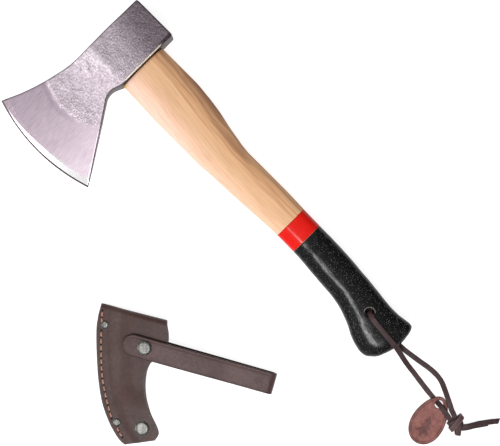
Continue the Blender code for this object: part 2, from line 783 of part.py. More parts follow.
def make_strap_snap(parts):
    base = cover_place(0, 0, 0)
    panel = front_top(0, 0)
    inside = rear_under(0, 0) + LEATHER + panel_gap(0, 0)
    strap_low = STRAP_OVER - STRAP_THICK / 2
    strap_top = STRAP_OVER + STRAP_THICK / 2
    cap = cap_with_barrel(6.5, strap_top + GAP, 1.5, strap_low + 0.1)
    turned("strap_snap_cap", cap, base, "nickel", parts, 26)
    turned("strap_snap_socket", socket(panel + 1.0, strap_low - GAP), base, "nickel", parts)
    turned("strap_snap_stud", stud(panel + GAP), base, "nickel", parts)
    turned("strap_snap_post", post(4.6, inside - 1.0, inside - GAP, 1.4, panel), base,
           "nickel", parts, 20)


def make_strap_rivet(parts):
    x, y = strap_xy(STRAP_RIVET_S)
    base = cover_place(x, y, 0)
    rear = rear_under(x, y) + LEATHER
    turned("strap_rivet_cap", dome(3.5, rear + GAP, 0.9, 0.8), base, "nickel", parts)
    turned("strap_rivet_post", post(3.5, 0.05, 0.85, 1.2, rear), base, "nickel", parts, 20)


def make_seam(parts):
    """The seam's three visible runs of thread, parted by the rivets, on the front panel."""
    for name, line in SEAM_RUNS:
        curve = bpy.data.curves.new(name, "CURVE")
        curve.dimensions = "3D"
        curve.bevel_depth = THREAD_R * MM
        curve.bevel_resolution = 1
        curve.use_fill_caps = True
        points = even_points([(x, y, 0) for x, y in line], max(6, len(line) * 5))
        spline = curve.splines.new("POLY")
        spline.points.add(len(points) - 1)
        for spot, p in zip(spline.points, points):
            height = front_top(p.x, p.y) + GAP + THREAD_R
            spot.co = (*cover_place(p.x, p.y, height), 1)
        link(bpy.data.objects.new(name, curve), "thread", parts)


def main():
    clear_scene()
    parts = collection("hatchet")
    cutters = collection("cutters")
    make_head(parts, cutters)
    make_haft(parts, cutters)
    make_wedges(parts, cutters)
    make_band_and_grip(parts, cutters)
    make_lanyard(parts)
    make_tag(parts, cutters)
    make_pocket(parts, cutters)
    make_welt(parts, cutters)
    make_edge_rivets(parts)
    make_heel_snap(parts)
    make_strap(parts, cutters)
    make_strap_snap(parts)
    make_strap_rivet(parts)
    make_seam(parts)


main()
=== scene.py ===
"""Looks of the hatchet: forged head, ash haft with a dipped grip, leather lanyard with a tag, and
the stitched leather blade cover. Lengths in the drawing are millimetres, as in the CAD source: x
runs along the haft from the eye, y from the cutting edge to the poll, z up from the floor."""

import math

import bmesh
import bpy
import numpy as np
from mathutils import Matrix, Vector, noise
from mathutils.geometry import interpolate_bezier


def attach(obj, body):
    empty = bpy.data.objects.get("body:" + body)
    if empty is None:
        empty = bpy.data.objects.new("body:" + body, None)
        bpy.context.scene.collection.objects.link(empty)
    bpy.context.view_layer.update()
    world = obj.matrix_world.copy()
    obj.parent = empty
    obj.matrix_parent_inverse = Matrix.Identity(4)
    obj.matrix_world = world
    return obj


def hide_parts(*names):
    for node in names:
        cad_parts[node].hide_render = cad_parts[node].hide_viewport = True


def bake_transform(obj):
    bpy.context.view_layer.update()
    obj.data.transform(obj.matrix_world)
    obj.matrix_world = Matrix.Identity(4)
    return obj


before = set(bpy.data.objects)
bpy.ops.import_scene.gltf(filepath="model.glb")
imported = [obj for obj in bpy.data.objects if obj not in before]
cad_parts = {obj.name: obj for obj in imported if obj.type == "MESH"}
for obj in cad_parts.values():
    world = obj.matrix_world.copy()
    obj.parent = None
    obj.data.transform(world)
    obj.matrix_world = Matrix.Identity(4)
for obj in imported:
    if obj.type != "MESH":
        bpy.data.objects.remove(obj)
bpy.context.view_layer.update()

# ---- Dimensions shared with the CAD source, millimetres ----
MM = 0.001
GAP = 0.3
BOX_CENTRE = np.array((147.8, -99.96, 0.0))
MID = 13.5  # height of the hatchet's middle plane
POLL_Y = 36.7
EYE_TOP_X, EYE_LOW_X, EYE_Y = -21.2, 21.2, 0.4
HAFT_END = 338.8
BAND_START, BAND_END = 201.1, 220.4
COAT = 0.6
HOLE_X, HOLE_Y, HOLE_R = 301.0, -11.0, 4.3
LACE_WIDE, LACE_THICK = 4.5, 2.0
TAG_PIVOT = Vector((400.0, -23.8, 0.0))
TAG_HOLE_R, TAG_THICK = 3.6, 1.8
SHEATH_AT = np.array((188.8, -165.2, 0.0))
SHEATH_TURN = math.radians(45.0)
LEATHER, WELT = 2.4, 2.4
STRAP_TURN = math.radians(-16.0)
STRAP_SHIFT = -0.5
STRAP_WIDE, STRAP_THICK = 18.0, 2.0
STRAP_LONG, STRAP_NOSE = 114.0, 18.5
STRAP_OVER = 17.6
FOLD_R = 4.9
FOLD_S = STRAP_LONG - STRAP_THICK / 2 - FOLD_R
FOLD_Z = 1.5 + FOLD_R
EDGE_RIVETS = ((-34.3, 18.7), (-23.9, -63.9))
HEEL_SNAP = (-2.7, -69.0)

# Haft edges seen from above: x, back edge y, front edge y, half thickness
HAFT = np.array((
    (21.5, 23.2, -22.6, 9.6), (40, 23.2, -23.3, 10.0), (60, 23.2, -24.1, 10.4),
    (76, 22.0, -24.4, 10.7), (93, 19.7, -24.4, 10.9), (110, 16.1, -24.4, 11.0),
    (119, 14.6, -23.9, 11.0), (128, 13.1, -23.2, 11.0), (137, 12.4, -22.9, 11.0),
    (150, 12.5, -22.3, 11.0), (177, 12.5, -20.8, 11.0), (201.1, 11.8, -19.6, 11.0),
    (220.4, 11.5, -19.8, 11.0), (240, 11.3, -21.1, 11.0), (256, 10.6, -22.4, 11.0),
    (270, 9.5, -23.4, 11.0), (279, 8.8, -25.1, 11.0), (287, 7.9, -27.6, 11.0),
    (296, 7.0, -31.1, 11.0), (304, 6.0, -35.2, 11.0), (312, 5.4, -38.2, 11.0),
    (320, 5.4, -39.7, 11.0), (325, 6.0, -38.9, 10.9), (329, 6.5, -36.0, 10.5),
    (332.5, 6.9, -32.4, 9.7), (335, 6.4, -26.9, 8.5), (337.3, 3.0, -20.5, 6.4),
    (HAFT_END, -4.5, -13.6, 3.4),
))

# Head sections from poll to edge: y, top x, underside x, half thickness, bow towards the edge
HEAD = np.array((
    (POLL_Y, -20.6, 21.2, 13.5, 0.0), (18, -20.9, 21.2, 13.5, 0.0), (0, -21.3, 21.2, 13.5, 0.0),
    (-17, -21.1, 21.2, 13.5, 0.0), (-23, -21.1, 20.8, 12.8, 0.0), (-28, -21.3, 18.9, 11.3, 0.2),
    (-33, -21.6, 17.6, 9.6, 0.4), (-38, -22.1, 18.2, 8.0, 0.7), (-45, -23.2, 22.2, 6.5, 1.2),
    (-54, -25.2, 28.2, 5.3, 1.9), (-66, -28.3, 36.2, 4.3, 2.9), (-78, -32.1, 43.9, 3.5, 4.3),
    (-89, -36.3, 51.0, 2.8, 5.9), (-98.6, -40.8, 57.0, 2.1, 7.5), (-103.8, -43.2, 60.0, 0.3, 8.3),
))
BEVEL_Y, EDGE_Y = -98.6, -103.8

FRONT_LEG = ((301.0, -10.7, 15.5), (301.1, -10.9, 21.5), (303.4, -12.0, 25.3), (309, -13.2, 26.0),
             (318, -14.1, 25.9), (328, -15.0, 25.5), (336, -15.6, 23.6), (343, -16.6, 18.6),
             (350, -17.9, 11.6), (358, -19.1, 4.9), (366, -20.0, 2.0), (374, -21.1, 1.3),
             (384, -22.4, 1.3), (392, -23.2, 1.2), (397.1, -23.6, 1.5), (400.0, -23.8, 4.0),
             (402.8, -24.1, 6.7), (407, -24.9, 7.2), (411, -25.6, 6.7), (415.2, -26.3, 6.0))
BACK_LEG = ((301.0, -11.0, 14.0), (301.1, -11.0, 5.5), (303.6, -11.0, 1.8), (309, -11.2, 1.2),
            (323, -11.9, 1.2), (335, -12.2, 1.2), (344, -12.1, 1.2), (353, -11.1, 1.2),
            (364.4, -9.4, 1.2), (373, -8.0, 1.2), (381, -7.6, 1.2), (388, -8.6, 1.4),
            (394, -11.2, 3.4), (400, -14.4, 6.6), (406, -17.5, 7.4), (411, -20.0, 7.0),
            (415.2, -21.4, 6.3))
LONG_TAIL = ((426.0, -25.0, 5.6), (430.0, -20.2, 5.8), (433.0, -15.6, 4.9), (436.2, -10.8, 3.9),
             (439.9, -5.8, 3.6), (443.7, -1.2, 2.6), (446.7, 2.0, 1.3))
SHORT_TAIL = ((427.0, -26.0, 2.6), (430.9, -21.9, 1.6), (434.0, -17.0, 1.2), (437.6, -11.7, 1.2),
              (441.4, -6.3, 1.2))
KNOT_AT = Vector((423.2, -25.2, 5.1))

COVER_LEFT = ((-37.4, 36.8), (-40.6, 24), (-41.3, 8), (-40.7, -12), (-39.3, -30), (-36.1, -48.4),
              (-30.2, -64.6), (-24.1, -75.6), (-18.2, -82.8))
COVER_RIGHT = ((18.6, 22.5), (19.8, 14), (19.2, 3), (15.5, -8.2), (5.9, -12.8), (1.2, -22.5),
               (0.3, -40), (4.0, -56.5), (11.2, -73.8), (8.4, -79.3))
# Seam runs: the line of the needle holes and how many there are
SEAMS = (
    (((-35.9, 30.4), (-36.5, 24.5), (-36.4, 19.4)), 3),
    (((-36.9, 13.4), (-37.1, 7.9), (-37.0, -10), (-36.3, -24), (-34.6, -35), (-32.3, -45.5),
      (-28.2, -60.4)), 14),
    (((-24.0, -67.6), (-22.3, -71.4), (-19.2, -76.4)), 3),
)
THREAD_R = 0.68
# The haft's clipped shoulder, which its grain follows: start, length, height there and slope
FACET_X, FACET_RUN, FACET_Y, FACET_SLOPE = 31.0, 95.0, 9.6, 0.107
HEAD_CORNER = 1.6
BOOLEAN_SHARP = 38.0

VIEW_CENTRE = Vector((0.0298, 0.07146, 0.0135))
VIEW_DISTANCE, VIEW_WIDTH = 1.038, 0.421
SENSOR_WIDTH = 36.0


# ---- Tools ----
def placed(points):
    """Drawing points in millimetres as model points in metres."""
    return (np.asarray(points, float) - BOX_CENTRE) * MM


def turned(points, angle):
    """Points turned about the upright axis."""
    p = np.asarray(points, float)
    c, s = math.cos(angle), math.sin(angle)
    return np.stack((p[..., 0] * c - p[..., 1] * s, p[..., 0] * s + p[..., 1] * c, p[..., 2]), -1)


def cover_points(points):
    """Points of the blade cover's drawing as drawing points."""
    return turned(points, SHEATH_TURN) + SHEATH_AT


def smooth_step(t):
    t = np.clip(t, 0.0, 1.0)
    return t * t * (3 - 2 * t)


def band(value, centre, half, soft):
    """1 within half of the centre, falling to 0 over soft beyond it."""
    return 1 - smooth_step((np.abs(value - centre) - half) / soft)


def round_over(depth, radius):
    """How far a rounded edge is drawn in at a depth below its face."""
    return radius - np.sqrt(radius ** 2 - np.clip(radius - depth, 0, radius) ** 2)


def read(table, x):
    """Columns of a table at x, on a smooth curve that never overshoots its rows."""
    xs, ys = table[:, 0], table[:, 1:]
    step = np.diff(xs)[:, None]
    rise = np.diff(ys, axis=0) / step
    inner = np.where(rise[:-1] * rise[1:] > 0,
                     2 * rise[:-1] * rise[1:] / (rise[:-1] + rise[1:] + 1e-12), 0)
    slope = np.vstack((rise[:1], inner, rise[-1:]))
    x = np.clip(np.atleast_1d(x), xs[0], xs[-1])
    i = np.clip(np.searchsorted(xs, x, "right") - 1, 0, len(xs) - 2)
    h = step[i]
    t = ((x - xs[i]) / h[:, 0])[:, None]
    a, b = ys[i], ys[i + 1]
    return (a * (1 + 2 * t) * (1 - t) ** 2 + slope[i] * h * t * (1 - t) ** 2
            + b * t ** 2 * (3 - 2 * t) + slope[i + 1] * h * t ** 2 * (t - 1))


def smooth_line(points, per_span):
    """Points on one smooth curve through the given ones, as the CAD source draws it."""
    pts = [Vector(p) for p in points]
    line = []
    for i in range(len(pts) - 1):
        a, b = pts[i], pts[i + 1]
        before = pts[i - 1] if i else a
        after = pts[i + 2] if i + 2 < len(pts) else b
        step = (b - a).length
        out = (b - before).normalized() * step / 3
        back = (after - a).normalized() * step / 3
        line += interpolate_bezier(a, a + out, b - back, b, per_span + 1)[:-1]
    return line + [pts[-1]]


def even_points(points, count):
    """Points equally spaced along a smooth curve through the given ones."""
    line = np.array(smooth_line([(*p, 0)[:3] for p in points], 24))
    run = np.concatenate(([0], np.cumsum(np.linalg.norm(np.diff(line, axis=0), axis=1))))
    want = np.linspace(0, run[-1], count)
    return np.stack([np.interp(want, run, line[:, k]) for k in range(3)], -1)


def grainy(points, scale, seed=0.0, octaves=3):
    """Smooth noise from -1 to 1 at each point; scale is its feature size in millimetres."""
    offset = Vector((seed, seed * 1.7, -seed))
    return np.array([noise.fractal(Vector(p) / scale + offset, 0.9, 2.0, octaves)
                     for p in points])


def strip_faces(rows, count, around=True, loop=False):
    """Faces of a grid of rows with count points each; around closes each row, loop the rows."""
    ahead = rows if loop else rows - 1
    across = count if around else count - 1
    return [(r * count + i, r * count + (i + 1) % count,
             (r + 1) % rows * count + (i + 1) % count, (r + 1) % rows * count + i)
            for r in range(ahead) for i in range(across)]


def tube_faces(rows, count):
    last = (rows - 1) * count
    return strip_faces(rows, count) + [tuple(range(count))[::-1], tuple(range(last, last + count))]


def configured(thing, **settings):
    for key, value in settings.items():
        setattr(thing, key, value)
    return thing


def link_object(name, data):
    ob = bpy.data.objects.new(name, data)
    bpy.context.scene.collection.objects.link(ob)
    return ob


def smooth_shade(mesh, sharp):
    mesh.shade_smooth()
    mesh.set_sharp_from_angle(angle=math.radians(sharp))


def new_object(name, points, faces, sharp=40.0):
    """A mesh object from drawing points, its faces out and its round parts smooth."""
    mesh = bpy.data.meshes.new(name)
    mesh.from_pydata(placed(points).tolist(), [], faces)
    work = bmesh.new()
    work.from_mesh(mesh)
    bmesh.ops.recalc_face_normals(work, faces=work.faces)
    work.to_mesh(mesh)
    work.free()
    smooth_shade(mesh, sharp)
    return link_object(name, mesh)


def add_part(points, faces, new_points, new_faces):
    """Adds one closed form to the lists that a piece is made from."""
    start = len(points)
    points.extend(tuple(p) for p in new_points)
    faces.extend(tuple(start + i for i in face) for face in new_faces)


def piece(name, points, faces, material, body, replaces=(), sharp=40.0):
    return finish_piece(new_object(name, points, faces, sharp), material, body, replaces)


def finish_piece(ob, material, body, replaces=()):
    ob.data.materials.append(material)
    if replaces:
        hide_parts(*replaces)
    if body:
        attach(ob, body)
    return ob


def apply_modifiers(ob):
    bpy.context.view_layer.update()
    ob.data = bpy.data.meshes.new_from_object(ob.evaluated_get(
        bpy.context.evaluated_depsgraph_get()))
    ob.modifiers.clear()


def cut_with(ob, cutters, sharp=BOOLEAN_SHARP, materials="INDEX"):
    """Takes the cutters' shapes out of the piece and deletes them."""
    for cutter in cutters:
        configured(ob.modifiers.new(cutter.name, "BOOLEAN"), operation="DIFFERENCE",
                   solver="EXACT", material_mode=materials, object=cutter)
    apply_modifiers(ob)
    smooth_shade(ob.data, sharp)
    for cutter in cutters:
        bpy.data.objects.remove(cutter)


def turned_points(profile, x, y, steps):
    """Rings of a turned piece on an upright axis through the drawing point (x, y)."""
    turn = np.linspace(0, 2 * math.pi, steps, endpoint=False)
    return np.concatenate([np.stack((x + r * np.cos(turn), y + r * np.sin(turn),
                                     np.full(steps, float(h))), -1) for r, h in profile])


def vertex_points(ob):
    """A piece's vertices as drawing points in millimetres."""
    co = np.empty(len(ob.data.vertices) * 3)
    ob.data.vertices.foreach_get("co", co)
    return co.reshape(-1, 3) / MM + BOX_CENTRE


def paint(ob, **layers):
    """Keeps numbers per vertex for the material to read."""
    for name, values in layers.items():
        made = ob.data.attributes.new(name, "FLOAT", "POINT")
        made.data.foreach_set("value", np.asarray(values, np.float32))


# ---- Materials ----
class Finish:
    """A node material made in short steps; each step returns the socket that it feeds."""

    def __init__(self, name, **constants):
        self.material = bpy.data.materials.new(name)
        self.material.use_nodes = True
        self.tree = self.material.node_tree
        self.shader = self.tree.nodes["Principled BSDF"]
        for key, value in constants.items():
            self.shader.inputs[key.replace("_", " ")].default_value = value
        coordinates = self.tree.nodes.new("ShaderNodeTexCoord")
        self.place = self.scaled(coordinates.outputs["Object"], (1000, 1000, 1000))

    def set(self, socket, value):
        if isinstance(value, bpy.types.NodeSocket):
            self.tree.links.new(value, socket)
        elif socket.type == "RGBA":
            grey = value if isinstance(value, tuple) else (value, value, value)
            socket.default_value = (*grey, 1.0)
        else:
            socket.default_value = value

    def node(self, kind, inputs, out=0, **settings):
        made = configured(self.tree.nodes.new("ShaderNode" + kind), **settings)
        for key, value in inputs.items():
            self.set(made.inputs[key], value)
        return made.outputs[out]

    def scaled(self, vector, by):
        return self.node("VectorMath", {0: vector, 1: by}, operation="MULTIPLY")

    def noise(self, size, stretch=(1, 1, 1), detail=4.0, rough=0.55, twist=0.0, at=None):
        """Noise whose features are size millimetres, drawn out by stretch."""
        scale = tuple(1 / (size * s) for s in stretch)
        vector = self.scaled(at or self.place, scale)
        return self.node("TexNoise", {"Vector": vector, "Scale": 1.0, "Detail": detail,
                                      "Roughness": rough, "Distortion": twist})

    def cells(self, size, feature="F1"):
        vector = self.scaled(self.place, (1 / size,) * 3)
        return self.node("TexVoronoi", {"Vector": vector, "Scale": 1.0}, feature=feature)

    def ramp(self, value, *stops):
        """A number or colour for each position of value; stops are (position, grey or colour)."""
        made = self.tree.nodes.new("ShaderNodeValToRGB")
        self.set(made.inputs[0], value)
        elements = made.color_ramp.elements
        while len(elements) < len(stops):
            elements.new(1.0)
        for element, (spot, tone) in zip(elements, stops):
            element.position = spot
            element.color = (*tone, 1) if isinstance(tone, tuple) else (tone, tone, tone, 1)
        return made.outputs[0]

    def mix(self, share, a, b, how="MIX"):
        made = self.tree.nodes.new("ShaderNodeMix")
        made.data_type = "RGBA"
        made.blend_type = how
        for socket, value in ((made.inputs[0], share), (made.inputs[6], a), (made.inputs[7], b)):
            self.set(socket, value)
        return made.outputs[2]

    def rise(self, value, low, high):
        """0 below low and 1 above high."""
        return self.ramp(value, (low, 0.0), (high, 1.0))

    def veil(self, colour, mask, amount, tone):
        """The tone laid over the colour where the mask is, at most by amount."""
        return self.mix(self.times(mask, amount), colour, tone)

    def maths(self, how, a, b):
        return self.node("Math", {0: a, 1: b}, operation=how)

    def plus(self, a, b):
        return self.maths("ADD", a, b)

    def times(self, a, b):
        return self.maths("MULTIPLY", a, b)

    def attribute(self, name, out=2):
        made = self.tree.nodes.new("ShaderNodeAttribute")
        made.attribute_name = name
        return made.outputs[out]

    def split(self, vector):
        made = self.tree.nodes.new("ShaderNodeSeparateXYZ")
        self.set(made.inputs[0], vector)
        return made.outputs

    def join(self, x, y, z):
        return self.node("CombineXYZ", {0: x, 1: y, 2: z})

    def bump(self, height, depth, under=None):
        """Relief of depth millimetres where height goes from 0 to 1."""
        inputs = {"Height": height, "Distance": depth * MM, "Strength": 1.0}
        if under:
            inputs["Normal"] = under
        return self.node("Bump", inputs)

    def done(self, colour, rough=None, normal=None):
        for key, value in (("Base Color", colour), ("Roughness", rough), ("Normal", normal)):
            if value is not None:
                self.set(self.shader.inputs[key], value)
        return self.material


def forged_steel():
    """Blasted forging: pitted poll darkened by painted shade, lilac cheeks, ground blade with fine
    grinding lines, and painted highlights and shade on the neck ridge, crease, ground line, bevel
    and narrow faces.
    """
    f = Finish("forged_steel", Metallic=1.0)
    ground, bevel, dark, poll, crease = (
        f.attribute(name) for name in ("ground", "bevel", "dark", "poll", "crease"))
    grit = f.noise(1.5, detail=6.0, rough=0.65)
    patch = f.noise(16, detail=3.0)
    fine = f.noise(0.55, detail=3.0, rough=0.7)
    blasted = f.mix(patch, (0.36, 0.30, 0.345), (0.56, 0.48, 0.54))
    blasted = f.mix(f.rise(grit, 0.34, 0.66), f.mix(0.32, blasted, (0.10, 0.08, 0.09)),
                    f.mix(0.19, blasted, (0.95, 0.88, 0.93)))
    dents = f.noise(5.5, detail=4.0, rough=0.6, twist=0.6)
    blasted = f.mix(f.ramp(dents, (0.36, 0.24), (0.54, 0.0)), blasted, (0.22, 0.18, 0.205))
    blasted = f.mix(f.ramp(dents, (0.54, 0.0), (0.70, 0.16)), blasted, (0.85, 0.77, 0.83))
    # Painted highlight: a lighter band along the neck's ridge.
    blasted = f.veil(blasted, f.attribute("ridge"), 0.25, (0.93, 0.85, 0.90))
    folded = f.noise(3.0, stretch=(3.2, 1, 1), detail=3.0, twist=0.9)
    # Painted shade in the crease's folds and painted highlight on their crests.
    valley = f.times(crease, f.ramp(folded, (0.42, 0.0), (0.47, 1.0), (0.51, 0.0)))
    crest = f.times(crease, f.ramp(folded, (0.51, 0.0), (0.55, 1.0), (0.60, 0.0)))
    blasted = f.veil(blasted, valley, 0.95, (0.20, 0.16, 0.185))
    blasted = f.veil(blasted, crest, 0.70, (0.93, 0.87, 0.90))
    # Painted shade: the head darkens towards the poll, varied by the grit.
    poll_tone = f.mix(f.rise(grit, 0.35, 0.7), (0.055, 0.042, 0.050), (0.20, 0.165, 0.185))
    blasted = f.mix(poll, blasted, poll_tone)
    lines = f.noise(0.42, stretch=(1, 22, 22), detail=4.0, rough=0.7)
    drift = f.times(f.plus(f.noise(20, detail=2.0), -0.5), 0.5)
    # Painted light: the ground blade is painted lighter towards the heel.
    tint = f.rise(f.plus(f.attribute("low_side"), drift), 0.0, 1.0)
    steel = f.mix(tint, (0.47, 0.37, 0.45), (0.77, 0.64, 0.725))
    steel = f.mix(f.rise(lines, 0.38, 0.62), f.mix(0.24, steel, (0.2, 0.16, 0.19)),
                  f.mix(0.24, steel, (0.97, 0.88, 0.95)))
    colour = f.mix(ground, blasted, steel)
    # Painted highlight along the forged side of the ground line, and painted shadow just inside the
    # ground blade.
    crescent = f.attribute("crescent")
    colour = f.veil(colour, f.maths("MAXIMUM", crescent, 0.0), 0.5, (0.88, 0.74, 0.80))
    shadow = f.maths("MAXIMUM", f.times(crescent, -1.0), 0.0)
    colour = f.veil(colour, shadow, 0.35, (0.26, 0.19, 0.27))
    # Painted shade: the narrow faces, a line along the cutting edge, the rounded poll corner and
    # the honed zone beside the white bevel are painted near black.
    colour = f.mix(dark, colour, f.mix(fine, (0.018, 0.012, 0.014), (0.062, 0.044, 0.052)))
    colour = f.veil(colour, f.attribute("lit"), 0.8, (0.92, 0.83, 0.66))
    # The honed bevel, painted near white: polished steel with its glare painted in.
    colour = f.mix(bevel, colour, (0.96, 0.95, 0.96))
    rough = f.mix(ground, f.ramp(grit, (0.3, 0.52), (0.8, 0.40)), 0.33)
    rough = f.mix(bevel, rough, 0.22)
    pits = f.bump(f.rise(grit, 0.30, 0.62), 0.10)
    pits = f.bump(dents, 0.50, pits)
    pits = f.bump(fine, 0.06, pits)
    sleek = f.bump(lines, 0.012)
    smooth = f.maths("MAXIMUM", ground, bevel)
    normal = f.node("Mix", {0: smooth, 4: pits, 5: sleek}, out=1, data_type="VECTOR")
    return f.done(colour, rough, normal)


def nickel(name="nickel", tone=(0.125, 0.123, 0.116)):
    """Satin nickel with faint upright brushing and small handling marks; the upright streaks in its
    colour are painted reflections, and its rolled lip is painted dark as shade.
    """
    f = Finish(name, Metallic=1.0)
    turned_place = f.node("VectorRotate", {"Vector": f.place, "Angle": -math.pi / 4},
                          rotation_type="Z_AXIS")
    brushed = f.noise(2.6, stretch=(1, 9, 9), detail=5.0, rough=0.55, at=turned_place)
    marks = f.noise(1.2, detail=5.0, rough=0.7)
    # Painted reflection: broad upright streaks of lighter and darker tone; the same noise gives the
    # faint brushed relief.
    shade = f.mix(f.rise(brushed, 0.36, 0.64), tuple(0.45 * c for c in tone),
                  tuple(min(1.45 * c, 1) for c in tone))
    shade = f.veil(shade, marks, 0.4, tuple(0.7 * c for c in tone))
    # Painted shade on the rolled lip.
    shade = f.mix(f.attribute("lip"), shade, (0.05, 0.045, 0.045))
    return f.done(shade, f.ramp(marks, (0.2, 0.34), (0.8, 0.46)), f.bump(brushed, 0.01))


def ash_wood():
    """Oiled ash: pinkish cream on the blade side, darker heartwood along the back, and painted
    shade at the back rim, where the haft leaves the eye and round the lanyard hole.
    """
    f = Finish("ash", Specular_IOR_Level=0.25)
    spot = f.split(f.place)
    along, across = (f.plus(spot[k], BOX_CENTRE[k]) for k in (0, 1))
    drift = f.times(f.maths("MINIMUM", f.plus(along, -FACET_X), FACET_RUN), FACET_SLOPE)
    wander = f.times(f.plus(f.noise(60, detail=1.0), -0.5), 7.0)
    grain = f.plus(f.plus(across, drift), wander)
    fibre = f.join(along, grain, spot[2])
    rings = f.noise(3.4, stretch=(46, 1, 1.6), detail=4.0, rough=0.62, at=fibre)
    pores = f.noise(0.55, stretch=(44, 1, 1), detail=2.0, rough=0.6, at=fibre)
    flame = f.noise(3.0, stretch=(20, 1, 1.6), detail=3.0, at=fibre)
    share = f.maths("DIVIDE", f.plus(grain, 26.0), 52.0)
    # Pinkish cream on the blade side and tan beyond the facet; the last two stops darken the back
    # rim as painted shade.
    warm = f.ramp(share, (0.0, (0.90, 0.60, 0.44)), (0.16, (0.95, 0.64, 0.52)),
                  (0.34, (0.85, 0.545, 0.385)), (0.50, (0.755, 0.47, 0.28)),
                  (0.655, (0.79, 0.485, 0.28)), (0.672, (0.80, 0.48, 0.27)),
                  (0.80, (0.78, 0.46, 0.25)), (0.92, (0.60, 0.34, 0.18)),
                  (1.0, (0.30, 0.15, 0.09)))
    late = f.ramp(rings, (0.40, 0.0), (0.52, 0.75), (0.56, 0.1), (0.66, 0.6))
    grainier = f.ramp(share, (0.15, 0.26), (0.66, 0.60), (0.70, 0.85))
    late_tone = f.mix(1.0, warm, (0.74, 0.60, 0.47), "MULTIPLY")
    colour = f.mix(f.times(late, grainier), warm, late_tone)
    heart = f.times(f.rise(share, 0.62, 0.80), f.rise(flame, 0.46, 0.62))
    colour = f.veil(colour, heart, 0.55, (0.27, 0.11, 0.06))
    colour = f.mix(f.ramp(pores, (0.50, 0.0), (0.68, 0.42)), colour, (0.46, 0.25, 0.13))
    colour = f.veil(colour, f.attribute("end_grain"), 0.45, (0.46, 0.24, 0.11))
    # Painted shade where the haft leaves the eye and round the lanyard hole, and a yellowish glue
    # spot at the eye.
    for name, tone in (("burnt", (0.16, 0.08, 0.045)), ("glue", (0.72, 0.46, 0.13)),
                       ("bore", (0.014, 0.009, 0.007))):
        colour = f.mix(f.attribute(name), colour, tone)
    return f.done(colour, f.ramp(rings, (0.3, 0.50), (0.7, 0.62)),
                  f.bump(rings, 0.06, f.bump(pores, 0.05)))


def red_paint():
    f = Finish("red_paint", Specular_IOR_Level=0.05, Coat_Weight=0.26, Coat_Roughness=0.14)
    pull = f.noise(4.0, stretch=(1, 3, 3), detail=3.0)
    colour = f.mix(pull, (0.60, 0.006, 0.003), (0.74, 0.010, 0.005))
    # Painted shade: the band darkens towards its back side.
    shade = f.ramp(f.attribute("back"), (0.0, 0.0), (1.0, 0.75))
    colour = f.mix(shade, colour, (0.22, 0.004, 0.003))
    # Painted shade on the rounded lip at the band's start.
    colour = f.mix(f.attribute("lip"), colour, (0.30, 0.006, 0.006))
    return f.done(colour, f.ramp(pull, (0.2, 0.26), (0.8, 0.36)), f.bump(pull, 0.05))


def black_coat():
    """Dipped grip coat with a fine sandy surface."""
    f = Finish("black_coat", Specular_IOR_Level=0.21)
    sand = f.noise(0.95, detail=5.0, rough=0.75)
    grit = f.cells(1.05)
    tone = f.noise(12, detail=2.0)
    colour = f.mix(tone, (0.001, 0.001, 0.001), (0.003, 0.003, 0.003))
    colour = f.mix(f.ramp(sand, (0.60, 0.0), (0.76, 0.35)), colour, (0.05, 0.046, 0.049))
    colour = f.mix(f.ramp(grit, (0.09, 0.8), (0.20, 0.0)), colour, (0.34, 0.31, 0.33))
    rough = f.ramp(sand, (0.35, 0.20), (0.7, 0.12))
    normal = f.bump(f.ramp(grit, (0.10, 1.0), (0.34, 0.0)), 0.16)
    return f.done(colour, rough, f.bump(sand, 0.07, normal))


def leather(name, deep, light, edge_tone, grain=0.9, at=None, worn=0.0, rough=(0.46, 0.62),
            clouds=17.0):
    """Vegetable-tanned leather: pebbled grain, cloudy dye, darker or burnished edges with painted
    shade on some pieces, and a lighter tone that is wear on some pieces and painted sheen on
    others.
    """
    f = Finish(name, Specular_IOR_Level=0.21)
    if at:
        f.place = f.attribute(at, out=1)
    cloud = f.noise(clouds, detail=4.0, rough=0.6)
    fibre = f.noise(2.6, detail=5.0, rough=0.7)
    pebble = f.cells(grain, feature="SMOOTH_F1")
    crackle = f.noise(grain * 0.6, detail=4.0, rough=0.7)
    colour = f.mix(f.rise(cloud, 0.30, 0.70), deep, light)
    colour = f.mix(f.ramp(fibre, (0.30, 0.35), (0.62, 0.0)), colour,
                   tuple(0.55 * c for c in deep))
    colour = f.veil(colour, f.attribute("edge"), 0.85, edge_tone)
    # A lighter tone: wear on the cover's rims and the tag, painted sheen on the strap and the knot.
    if worn:
        rub = f.times(f.attribute("worn"), worn)
        colour = f.mix(rub, colour, tuple(min(1, 1.75 * c + 0.02) for c in light))
    height = f.bump(f.ramp(pebble, (0.0, 1.0), (0.8, 0.0)), 0.05)
    gloss = f.ramp(fibre, (0.3, rough[1]), (0.7, rough[0]))
    return f.done(colour, gloss, f.bump(crackle, 0.06, height))


def waxed_thread():
    f = Finish("waxed_thread", Sheen_Weight=0.25)
    tone = f.noise(5.0, detail=3.0)
    fuzz = f.noise(0.4, detail=3.0)
    colour = f.mix(tone, (0.35, 0.17, 0.10), (0.55, 0.31, 0.20))
    colour = f.veil(colour, f.attribute("pink"), 0.55, (0.60, 0.20, 0.16))
    return f.done(f.veil(colour, fuzz, 0.3, (0.25, 0.10, 0.05)), 0.62, f.bump(fuzz, 0.08))


# Painted shade: the walls of the needle holes are painted near black.
def needle_dark():
    f = Finish("needle_hole", Roughness=0.9)
    return f.done(f.mix(f.noise(0.5), (0.006, 0.003, 0.003), (0.02, 0.010, 0.009)))


